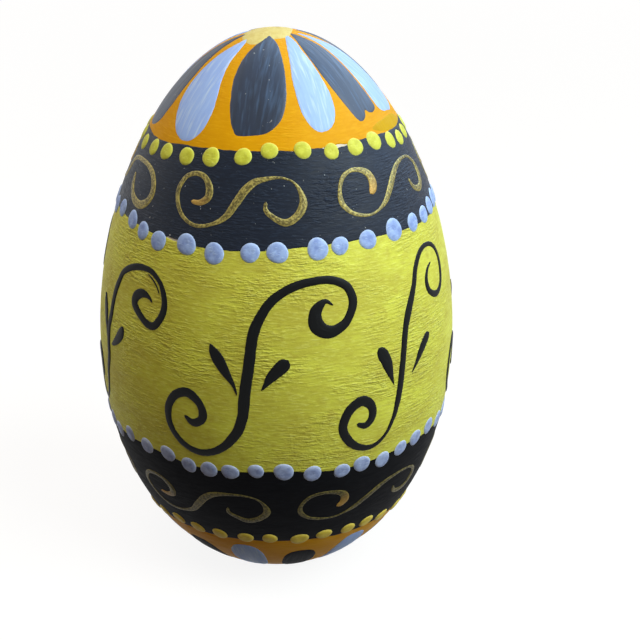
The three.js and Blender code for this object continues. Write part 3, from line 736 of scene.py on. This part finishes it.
def smooth_line(corners, spacing):
    """Even steps along a smooth line through drawn corners of [across, down, width]."""
    corners = np.asarray(corners, float)
    ends = np.concatenate([
        [2 * corners[0] - corners[1]], corners, [2 * corners[-1] - corners[-2]],
    ])
    share = np.linspace(0, 1, CURVE_STEPS, endpoint=False)[:, None]
    line = []
    for a, b, c, d in zip(ends, ends[1:], ends[2:], ends[3:]):
        ab, bc, cd = (
            max(math.sqrt(np.linalg.norm(q - p)), 0.01) for p, q in ((a, b), (b, c), (c, d))
        )
        leave = ((b - a) / ab - (c - a) / (ab + bc) + (c - b) / bc) * bc
        arrive = ((c - b) / bc - (d - b) / (bc + cd) + (d - c) / cd) * bc
        line.append(b + leave * share + (3 * (c - b) - 2 * leave - arrive) * share**2
                    + (2 * (b - c) + leave + arrive) * share**3)
    line = np.concatenate([*line, corners[-1:]])
    length = np.concatenate([[0], np.cumsum(np.hypot(*np.diff(line[:, :2], axis=0).T))])
    even = np.linspace(0, length[-1], max(8, round(length[-1] / spacing)))
    return np.stack([np.interp(even, length, column) for column in line.T], -1), even


ACROSS = np.array([-1, -0.97, -0.88, -0.7, -0.4, 0, 0.4, 0.7, 0.88, 0.97, 1])
STROKE_STEP = 0.3
FINEST_TIP = 0.12
FULL_WIDTH = 1.3  # a narrower stroke holds less paint and stands lower

# How the side of a stroke trembles: most, as a share of its width, size of one, seed
SIDE_TREMBLES = [(0.08, 1.8, 0), (0.05, 0.5, 9)]


def side_width(length, seed, side):
    """How far one side of a stroke spreads along its length, as a share of the usual."""
    spread = np.ones(len(length))
    for most, size, offset in SIDE_TREMBLES:
        spread += [most * noise.noise(Vector((t / size, seed, side + offset))) for t in length]
    return spread


def stroke(shape, corners, middle, mean_down, crest, seed, orange_start=0.0):
    """A raised line of paint with rounded ends, as wide as the brush was pressed. Its
    corners are [millimetres across from the middle turn, down, width]. Orange start is
    the length over which the colour that was on the brush before wears off."""
    line, length = smooth_line(corners, STROKE_STEP)
    x, down, width = line.T
    turn = middle + x / per_degree(mean_down)
    scale = per_degree(down)
    way = np.stack([np.gradient(turn) * scale, -np.gradient(down)], -1)
    way /= np.linalg.norm(way, axis=1, keepdims=True)
    total = length[-1]
    for from_end, end_width in ((length, width[0]), (total - length, width[-1])):
        radius = max(end_width / 2, FINEST_TIP)
        inside = np.clip(from_end / radius, 0, 1)
        width = width * np.sqrt(np.clip(1 - (1 - inside) ** 2, 0.0004, 1))
    left, right = (side_width(length, seed, side)[:, None] for side in (0, 50))
    aside = ACROSS * np.where(ACROSS < 0, left, right) * width[:, None] / 2
    turns = turn[:, None] - way[:, 1:] * aside / scale[:, None]
    downs = down[:, None] - way[:, :1] * aside
    dome = (1 - np.abs(ACROSS) ** 3.2) ** 0.55
    full = np.clip(width / FULL_WIDTH, 0.75, 1)[:, None]
    lifts = STROKE_FOOT + (crest - STROKE_FOOT) * dome * full
    ways = np.stack(np.broadcast_arrays(length[:, None], 17.0 * seed, aside), -1)
    edge_share = np.broadcast_to(np.clip((np.abs(ACROSS) - 0.5) * 2.5, 0, 1), aside.shape)
    start = np.zeros_like(aside)
    if orange_start:
        start += np.clip(1.25 - length / orange_start, 0, 1)[:, None]
    shape.add_grid(on_egg(turns, downs, lifts), ways, False, edge_share, start)


def in_cell(drawing, lowest, highest, top, bottom, brush):
    """Corners of a drawing of [turn, rise, share of the brush], whose lowest and highest
    rise are stretched to the bottom and the top of its place down the side."""
    scale = per_degree((top + bottom) / 2)
    return [
        [turn * scale,
         bottom + (rise - lowest) / (highest - lowest) * (top - bottom),
         share * brush]
        for turn, rise, share in drawing
    ]


# Black scrolls, in degrees from the stem and millimetres of rise
VINE_BRUSH = 1.9
VINE_CREST = 0.08
VINE_LOWEST, VINE_HIGHEST = 3.2, 33.4
WIDE_STEM = [
    [26.3, 28.5, 0.12], [23.8, 29.2, 0.45], [20.6, 27.6, 1.1], [21.1, 25.4, 1.3],
    [25.2, 24.4, 1.1], [30, 25.6, 0.8], [32.8, 28.5, 0.8], [31.3, 31, 0.75],
    [26.5, 32.3, 0.7], [20, 32.4, 0.7], [13, 31.5, 0.75], [7.5, 29.7, 0.8],
    [4, 27.2, 0.85], [1.9, 24.5, 0.95], [0.8, 20, 0.95], [-0.5, 15, 1],
    [-1.6, 10, 0.95], [-3.9, 7.2, 0.9], [-8.3, 4.6, 0.75], [-14, 3.2, 0.7],
    [-20, 3.8, 0.65], [-24.8, 6.5, 0.65], [-25.6, 10, 0.75], [-22.5, 12.8, 0.8],
    [-18.3, 13.6, 0.9], [-14.3, 11.9, 0.75], [-13.8, 9.6, 0.8], [-16.8, 8.5, 0.75],
    [-19.8, 9.5, 0.25],
]
WIDE_LEFT_LEAF = [
    [-11.2, 22.4, 0.15], [-10, 21.2, 0.85], [-8.2, 19.7, 1.05], [-6, 17.8, 0.75],
    [-4, 16.1, 0.35], [-2.8, 14.4, 0.1],
]
WIDE_RIGHT_LEAF = [
    [12.2, 20.4, 0.6], [11, 19.7, 1.15], [8.9, 18.6, 1.1], [7, 17.5, 0.85],
    [5.6, 16.4, 0.45], [4.3, 15.4, 0.1],
]
NARROW_STEM = [
    [19.5, 30.4, 0.15], [16.5, 29.5, 0.35], [15, 28, 0.55], [15.6, 26.4, 0.6],
    [18, 25.3, 0.6], [21.5, 24.9, 0.6], [24.6, 25.7, 0.55], [26.7, 28.2, 0.55],
    [26.2, 31, 0.5], [23, 32.8, 0.45], [18.5, 33.4, 0.45], [14.2, 32.9, 0.55],
    [10.4, 31.2, 0.6], [7.6, 28.3, 0.65], [4, 24.9, 0.85], [2, 22.5, 0.75],
    [0.6, 19, 0.7], [-0.5, 15, 0.75], [-1.6, 11, 0.7], [-3.5, 7, 0.5],
    [-6.5, 4.4, 0.4], [-10.5, 3.2, 0.5], [-15, 3.6, 0.65], [-18.9, 5.2, 0.8],
    [-21.3, 8, 0.85], [-18.8, 11.2, 0.95], [-14.8, 12.1, 1], [-11.8, 10.6, 0.85],
    [-11.6, 8.7, 0.8], [-13.7, 7.6, 0.7], [-16.8, 8.2, 0.35],
]
NARROW_LEFT_LEAF = [
    [-9.4, 20.3, 0.5], [-8.2, 19.4, 1.05], [-6.6, 17.9, 1.15], [-5.5, 16.2, 0.85],
    [-4.6, 14.8, 0.45], [-3.7, 13.4, 0.1],
]
NARROW_RIGHT_LEAF = [
    [13.3, 19.6, 0.45], [12, 19.1, 0.85], [10, 18, 0.9], [8, 16.8, 0.75],
    [6, 15.4, 0.4], [4, 14.2, 0.1],
]
# One more scroll, drawn as it looks on the egg's left side, where the brush went over the
# inside of its curl twice
SIDE_STEM = [
    [20.6, 26.6, 0.12], [19.2, 27.2, 0.35], [17.2, 27.5, 0.6], [14.6, 27.3, 0.85],
    [12.6, 26.4, 0.95], [12.4, 25.4, 0.9], [14.2, 24.4, 0.75], [16.9, 23.5, 0.7],
    [19.6, 22.9, 0.7], [21.9, 23, 0.7], [23.6, 23.9, 0.7], [25.2, 25.4, 0.68],
    [25.6, 26.9, 0.66], [24.9, 28.4, 0.6], [23.4, 29.8, 0.5], [20.9, 30.8, 0.5],
    [18.4, 31.4, 0.52], [15.4, 31.5, 0.55], [11.4, 31.2, 0.6], [6.9, 30.3, 0.6],
    [3.6, 29.1, 0.6], [1.6, 27.3, 0.65], [0.1, 25.4, 0.7], [-0.9, 23.3, 0.7],
    [-1.8, 21, 0.75], [-3.1, 18.9, 0.75], [-3.4, 16.2, 0.75], [-3.1, 13.5, 0.7],
    [-4.6, 11, 0.6], [-5.8, 8, 0.5], [-8, 5.6, 0.45], [-11.5, 4, 0.5], [-16, 4.2, 0.65],
    [-19.9, 5.8, 0.8], [-22.3, 8.4, 0.85], [-19.8, 11.4, 0.95], [-15.8, 12.2, 1],
    [-12.8, 10.7, 0.85], [-12.6, 8.8, 0.8], [-14.7, 7.8, 0.7], [-17.8, 8.3, 0.35],
]
SIDE_LEFT_LEAF = [
    [-8.6, 23.6, 0.3], [-7.6, 22.2, 0.85], [-6.6, 20.8, 1], [-5.9, 19.2, 0.7],
    [-5, 17.6, 0.4], [-4.2, 16.2, 0.1],
]
SIDE_RIGHT_LEAF = [
    [6.9, 20.5, 0.4], [6.2, 19.4, 0.95], [4.6, 18.3, 1], [2.4, 17.1, 0.7], [-0.4, 16, 0.25],
]
SIDE_SECOND_PASS = [
    [17.2, 30.8, 0.08], [19.4, 30.3, 0.14], [21.5, 29.5, 0.14], [23.2, 28.3, 0.1],
]
SIDE_VINE = (SIDE_STEM, SIDE_LEFT_LEAF, SIDE_RIGHT_LEAF, SIDE_SECOND_PASS)
WIDE_VINE = (WIDE_STEM, WIDE_LEFT_LEAF, WIDE_RIGHT_LEAF)
NARROW_VINE = (NARROW_STEM, NARROW_LEFT_LEAF, NARROW_RIGHT_LEAF)

# Each scroll round the egg: how far it drifted from its even place, in degrees, and its lines
FIRST_VINE_TURN = -7
VINE_HANDS = [
    (0, WIDE_VINE), (-1.4, NARROW_VINE), (4.2, WIDE_VINE), (0.8, NARROW_VINE),
    (0, WIDE_VINE), (-1, NARROW_VINE), (-2, SIDE_VINE),
]
SPACE_ABOVE, SPACE_BELOW = 4.2, 3.1
vine_top = SEAMS["upper_band"][0] + SPACE_ABOVE
vine_bottom = SEAMS["lower_band"][0] - SPACE_BELOW
for place, (drift, drawing) in enumerate(VINE_HANDS):
    vine = Shape()
    middle = FIRST_VINE_TURN + place * 360 / len(VINE_HANDS) + drift
    for part, line in enumerate(drawing):
        corners = in_cell(line, VINE_LOWEST, VINE_HIGHEST, vine_top, vine_bottom, VINE_BRUSH)
        stroke(vine, corners, middle, (vine_top + vine_bottom) / 2, VINE_CREST,
               seed=60 + 5 * place + part)
    node = f"vine_scroll_{place + 1}"
    vine.make(f"{node}_brushed", "black_line", "black_brush_paint", node)

# Gold scrolls, in degrees and millimetres from the middle of each
GOLD_BRUSH = 1.4
GOLD_CREST = 0.06
ORANGE_LENGTH = 3
GOLD_LOWEST, GOLD_HIGHEST = -3.8, 4
HOOKED_SCROLL = [
    [-18, -0.5, 0.45], [-14.3, -0.5, 0.7], [-11.5, 0.3, 0.95], [-11.3, 1.6, 0.95],
    [-14, 3.1, 0.7], [-18, 3.5, 0.6], [-22.5, 2.8, 0.6], [-24.8, 0.8, 0.65],
    [-23.5, -1.2, 0.6], [-20, -2.9, 0.5], [-14.5, -3.8, 0.45], [-8, -3.2, 0.45],
    [-3.8, -2.1, 0.75], [-0.5, -0.1, 0.95], [2.5, 1.8, 1], [6, 3.1, 0.85],
    [11.3, 3.7, 0.5], [16.5, 3.8, 0.3], [20.9, 3.2, 0.25], [23.4, 1.8, 0.55],
    [24.2, 0.1, 0.95], [22, -1.5, 0.9], [17.5, -2.5, 0.85], [13.2, -1.7, 0.65],
    [10.6, -0.7, 0.55], [10.7, 0.5, 0.3],
]
OPEN_SCROLL = [
    [-12.1, 0.2, 0.7], [-10.3, 0.7, 1], [-9.4, 1.7, 1.2], [-10.2, 2.9, 1],
    [-13, 3.7, 0.7], [-18, 4, 0.5], [-22.2, 3.3, 0.55], [-24.7, 1.5, 0.5],
    [-24.8, -0.2, 0.7], [-22.2, -1.7, 0.55], [-18, -2.5, 0.45], [-13, -2.7, 0.3],
    [-9, -2.2, 0.35], [-5.5, -1.4, 0.7], [-1.5, 0.1, 0.85], [2.5, 1.6, 0.85],
    [7, 2.8, 0.7], [13, 3.4, 0.45], [19, 3.1, 0.35], [23, 1.8, 0.65],
    [23.7, 0.3, 0.95], [22, -1.4, 0.85], [18.3, -1.9, 0.85], [14, -1.2, 0.65],
    [12.3, 0.3, 0.35],
]
# One more scroll, drawn as it looks on the egg's left side, where it ends in a wide loop
LOOPED_SCROLL = OPEN_SCROLL[:14] + [
    [-3, 0.3, 0.8], [-0.6, 1.6, 0.75], [3.6, 2.3, 0.6], [9.2, 2.5, 0.6], [16, 2.4, 0.65],
    [21.5, 1.6, 0.8], [24.8, 0.2, 0.9], [25.6, -1.1, 0.95], [24.4, -2.3, 1],
    [21.6, -3.2, 1.05], [17.2, -3.4, 1], [12, -2.6, 0.9], [8.6, -1.1, 0.8], [7.4, 0.3, 0.5],
]

# Each row's finish, first turn, top and bottom down the side, and scrolls as for the black
GOLD_ROWS = [
    ("gold_scroll_upper", "gold", -12.5,
     SEAMS["top_cap"][0] + 3.4, SEAMS["upper_band"][0] - 2.5,
     [(0, HOOKED_SCROLL), (3.5, OPEN_SCROLL), (4, HOOKED_SCROLL), (1, OPEN_SCROLL),
      (-2, HOOKED_SCROLL), (-3.5, LOOPED_SCROLL)]),
    # The lower row takes the thinned gold, which is also darker as painted shade
    ("gold_scroll_lower", "thinned_gold_with_painted_shade", -26,
     SEAMS["lower_band"][0] + 4.8, SEAMS["bottom_cap"][0] - 4.8,
     [(0, HOOKED_SCROLL), (0.5, OPEN_SCROLL), (1, HOOKED_SCROLL), (1, OPEN_SCROLL),
      (0.5, HOOKED_SCROLL), (0, OPEN_SCROLL)]),
]
for label, finish, start_turn, top, bottom, hands in GOLD_ROWS:
    for place, (drift, drawing) in enumerate(hands):
        scroll = Shape()
        middle = start_turn + place * 360 / len(hands) + drift
        corners = in_cell(drawing, GOLD_LOWEST, GOLD_HIGHEST, top, bottom, GOLD_BRUSH)
        stroke(scroll, corners, middle, (top + bottom) / 2, GOLD_CREST,
               seed=110 + 3 * place + top, orange_start=ORANGE_LENGTH)
        node = f"{label}_{place + 1}"
        scroll.make(f"{node}_brushed", finish, "gold_paint", node)


# Dots

DAB_HEIGHT = 0.32
DAB_RINGS = np.array([0, 0.14, 0.28, 0.42, 0.56, 0.69, 0.8, 0.88, 0.94, 0.98, 1])
DAB_SIDES = 32
DAB_ANGLES = np.radians(np.arange(DAB_SIDES) * 360 / DAB_SIDES)

# The pit in a dab and the point in the pit, as shares of its height and of its radius
PIT_DEPTH, PIT_WIDTH = 0.2, 0.3
POINT_HEIGHT, POINT_WIDTH = 0.18, 0.1


def dab(shape, turn, down, radius, seed):
    """A drop of thick paint: a low dome with a slightly uneven outline. Off its middle is
    a shallow pit with a small point in it, where the tool lifted away."""
    outline = radius * (1 + 0.035 * np.cos(2 * DAB_ANGLES + seed)
                        + 0.02 * np.cos(3 * DAB_ANGLES + 2.3 * seed))
    aside = DAB_RINGS[:, None] * outline * np.cos(DAB_ANGLES)
    upward = DAB_RINGS[:, None] * outline * np.sin(DAB_ANGLES)
    pit_aside, pit_up = 0.22 * radius * math.cos(seed), 0.2 * radius * math.sin(1.7 * seed)
    from_pit = np.hypot(aside - pit_aside, upward - pit_up)
    pit = from_pit / (PIT_WIDTH * radius)
    point = from_pit / (POINT_WIDTH * radius)
    dome = (1 - DAB_RINGS[:, None] ** 3.4) ** 0.6
    crown = dome - PIT_DEPTH * np.exp(-pit**2) + POINT_HEIGHT * np.exp(-point**2)
    lifts = DAB_HEIGHT * crown + STROKE_FOOT
    points = on_egg(turn + aside / per_degree(down), down - upward, lifts)
    ways = np.stack([aside + 9 * seed, np.full_like(aside, 5 * seed), upward], -1)
    rim = np.broadcast_to(np.clip(DAB_RINGS[:, None] * 4 - 3, 0, 1), aside.shape)
    shape.add_grid(points, ways, True, rim)


# Each row: its node, seam and finish, the dabs' usual diameter and the space between two, the
# turn of place 0, the place of the first dab in its list, and the list, which holds the dabs
# that show from the front and a few beside them. Each dab is [drift as a share of the pitch,
# rise and size as shares of the diameter].
DOT_ROWS = [
    ("dots_row_1_yellow", "top_cap", "yellow_dot", 2.9, 1.5, -1, -9, [
        [0.06, -0.2, 1], [0.02, -0.45, 0.96], [-0.02, -0.7, 1.02],
        [-0.07, -0.88, 0.95], [-0.04, -0.75, 0.97], [-0.16, -0.66, 1],
        [-0.11, -0.58, 1.03], [-0.1, -0.37, 1.07], [0.08, -0.17, 0.97], [0, 0.21, 0.93],
        [0.2, 0.21, 0.97], [0.27, 0, 0.9], [0.29, 0.03, 1.02], [0.29, 0.1, 1.1],
        [0.25, -0.21, 0.97], [0.05, -0.38, 0.93], [-0.1, -0.34, 0.95], [0, -0.25, 1],
        [0.04, -0.12, 0.97],
    ]),
    ("dots_row_2_lilac", "upper_band", "lilac_dot", 3.3, 1.4, 2.2, -7, [
        [-0.12, 0.2, 0.95], [-0.02, 0.06, 0.95], [-0.22, -0.18, 0.9], [-0.35, -0.36, 1],
        [-0.15, -0.18, 1.06], [-0.1, -0.39, 1.03], [0.11, -0.21, 0.94], [0, -0.18, 1.02],
        [0.33, -0.09, 1.06], [0.11, -0.06, 0.88], [0.18, 0, 0.97], [0.38, 0.12, 1.12],
        [0.48, 0.09, 0.92], [0.38, 0.12, 0.92], [0.18, 0.24, 0.95], [0, 0.3, 1],
    ]),
    # The two lower rows take the dot paints with painted warm shade
    ("dots_row_3_lilac", "lower_band", "lilac_dot_painted_shade", 3.1, 1.15, 3.8, -7, [
        [-0.06, 0.26, 0.95], [0.1, 0.16, 1], [0.26, 0.26, 1], [0.23, -0.06, 0.95],
        [0.09, -0.06, 1], [-0.05, 0, 0.97], [-0.05, 0.19, 0.88], [0, 0.16, 1.08],
        [0.1, -0.06, 1], [0.28, -0.16, 0.92], [0.12, 0, 1.03], [0.1, -0.16, 1],
        [0.04, 0.1, 0.95], [-0.05, 0.26, 1], [-0.06, 0.39, 1],
    ]),
    ("dots_row_4_yellow", "bottom_cap", "yellow_dot_painted_shade", 2.9, 1.5, -1.3, -4, [
        [0.05, 0.34, 1], [0, 0.21, 1], [0, 0.21, 1], [0.06, 0.24, 1], [0, 0.31, 0.95],
        [0.15, 0.14, 1.12], [0.12, 0.31, 1], [0.14, 0.31, 1], [0, 0.38, 1],
    ]),
]
for number, (node, seam, finish, diameter, space, start, first, seen) in enumerate(DOT_ROWS):
    place_down = SEAMS[seam][0]
    count = round(360 * per_degree(place_down) / (diameter + space))
    row = Shape()
    for index in range(count):
        order = (index - first) % count
        if order < len(seen):
            drift, rise, share = seen[order]
        else:  # at the back they vary by slow waves
            drift = 0.12 * math.sin(2.4 * index)
            rise = 0.13 * math.sin(1.7 * index)
            share = 1 + 0.05 * math.sin(3.1 * index)
        turn = start + (index + drift) * 360 / count
        dab(row, turn, place_down - rise * diameter, share * diameter / 2,
            seed=1.9 * index + number)
    colour = node.split("_")[-1]
    row.make(f"{node}_dabbed", finish, f"{colour}_dot_paint", node)


# Floor, light and camera

def seen_directly(tree):
    """1 where a ray comes from the camera or from a reflection, and 0 elsewhere."""
    rays = add_node(tree, "ShaderNodeLightPath")
    seen = add_node(tree, "ShaderNodeMath", {"operation": "ADD"}, {
        0: rays.outputs["Is Camera Ray"], 1: rays.outputs["Is Glossy Ray"],
    })
    shown = add_node(tree, "ShaderNodeMath", {"operation": "ADD", "use_clamp": True}, {
        0: seen.outputs[0], 1: rays.outputs["Is Transmission Ray"],
    })
    return shown.outputs[0]


def white_floor():
    """A matt white sheet. Seen by the camera, or in a reflection, it is white with the
    egg's faint shadow, and it goes over into the white beyond it without an edge. The
    light it throws back up is that of a dull warm table."""
    material, tree = new_material("white_paper_floor")
    paper = add_node(tree, "ShaderNodeBsdfDiffuse", {}, {"Color": paint("#4A3A2A")})
    shaded = add_node(tree, "ShaderNodeBsdfDiffuse", {}, {"Color": paint("#6C6C6C")})
    spot = add_node(tree, "ShaderNodeNewGeometry")
    away = add_node(tree, "ShaderNodeVectorMath", {"operation": "LENGTH"}, {
        0: spot.outputs["Position"],
    })
    strength = add_node(tree, "ShaderNodeMapRange", {}, {
        "Value": away.outputs["Value"], "From Min": 0.25, "From Max": 0.9,
        "To Min": 0.89, "To Max": 1,
    })
    glow = add_node(tree, "ShaderNodeEmission", {}, {
        "Color": paint("#FFFFFF"), "Strength": strength.outputs["Result"],
    })
    white = add_node(tree, "ShaderNodeAddShader", {}, {
        0: shaded.outputs[0], 1: glow.outputs[0],
    })
    mixed = add_node(tree, "ShaderNodeMixShader", {}, {
        0: seen_directly(tree), 1: paper.outputs[0], 2: white.outputs[0],
    })
    add_node(tree, "ShaderNodeOutputMaterial", {}, {"Surface": mixed.outputs[0]})
    return material


HALF_FLOOR = 2.5
floor_mesh = bpy.data.meshes.new("floor")
floor_mesh.from_pydata(
    [(-HALF_FLOOR, -HALF_FLOOR, 0), (HALF_FLOOR, -HALF_FLOOR, 0),
     (HALF_FLOOR, HALF_FLOOR, 0), (-HALF_FLOOR, HALF_FLOOR, 0)], [], [(0, 1, 2, 3)])
floor_mesh.materials.append(white_floor())
floor = bpy.data.objects.new("floor", floor_mesh)
bpy.context.scene.collection.objects.link(floor)


LAMP_AIM = Vector((0, 0, 0.045))
LAMP_DISTANCE = 0.5


def area_light(name, azimuth, elevation, size, power, colour):
    """A soft square light that faces the egg. Azimuth 0 is in front and 90 at the right,
    and the power is in watts."""
    a, e = math.radians(azimuth), math.radians(elevation)
    away = Vector((math.sin(a) * math.cos(e), -math.cos(a) * math.cos(e), math.sin(e)))
    light = bpy.data.lights.new(name, "AREA")
    light.shape = "SQUARE"
    light.size = size
    light.energy = power
    light.color = paint(colour)[:3]
    lamp = bpy.data.objects.new(name, light)
    lamp.location = LAMP_AIM + away * LAMP_DISTANCE
    lamp.rotation_mode = "QUATERNION"
    lamp.rotation_quaternion = away.to_track_quat("Z", "Y")
    bpy.context.scene.collection.objects.link(lamp)
    return lamp


area_light(
    "window_right", azimuth=62, elevation=39, size=0.42, power=3.2, colour="#F1FFFF")
area_light(
    "window_behind_left", azimuth=-115, elevation=36, size=0.4, power=0.5, colour="#FFFFFF")

# Warm light that comes off a wall at the left, which is too dull to show as a sheen
wall_left = area_light(
    "wall_left", azimuth=-42, elevation=73, size=0.3, power=1.0, colour="#FFF2E2")
wall_left.visible_glossy = False

# The cool sheen of the sky on the upper paint, which adds no light of its own
sky_behind = area_light(
    "sky_behind", azimuth=125, elevation=52, size=0.7, power=6.5, colour="#B4D8FF")
sky_behind.visible_diffuse = False

# A dim warm room lights the egg, and what is seen round it is white
world = bpy.data.worlds.new("room")
bpy.context.scene.world = world
world.use_nodes = True
world.node_tree.nodes.clear()
room = add_node(world.node_tree, "ShaderNodeBackground", {}, {
    "Color": paint("#FFDDB8"), "Strength": 0.15,
})
backdrop = add_node(world.node_tree, "ShaderNodeBackground", {}, {
    "Color": paint("#FFFFFF"), "Strength": 1,
})
surroundings = add_node(world.node_tree, "ShaderNodeMixShader", {}, {
    0: seen_directly(world.node_tree), 1: room.outputs[0], 2: backdrop.outputs[0],
})
add_node(world.node_tree, "ShaderNodeOutputWorld", {}, {"Surface": surroundings.outputs[0]})

# The camera looks down at the egg. Its focal length is in pixels, for a picture so wide.
LOOK = Vector((7.59, 0, 44.06)) * MM
CAMERA_TILT = math.radians(23.26)
CAMERA_DISTANCE = 0.24
CAMERA_ROLL = math.radians(0.5)
SENSOR_WIDTH = 36
FOCAL_PIXELS, PICTURE_PIXELS = 1357.8, 640
camera_data = bpy.data.cameras.new("camera")
camera_data.sensor_width = SENSOR_WIDTH
camera_data.lens = SENSOR_WIDTH * FOCAL_PIXELS / PICTURE_PIXELS
camera_data.clip_start = 0.01
camera = bpy.data.objects.new("camera", camera_data)
back = Vector((0, -math.cos(CAMERA_TILT), math.sin(CAMERA_TILT)))
facing = back.to_track_quat("Z", "Y").to_matrix() @ Matrix.Rotation(CAMERA_ROLL, 3, "Z")
camera.matrix_world = Matrix.Translation(LOOK + back * CAMERA_DISTANCE) @ facing.to_4x4()
bpy.context.scene.collection.objects.link(camera)
bpy.context.scene.camera = camera
bpy.context.scene.view_settings.view_transform = "Standard"
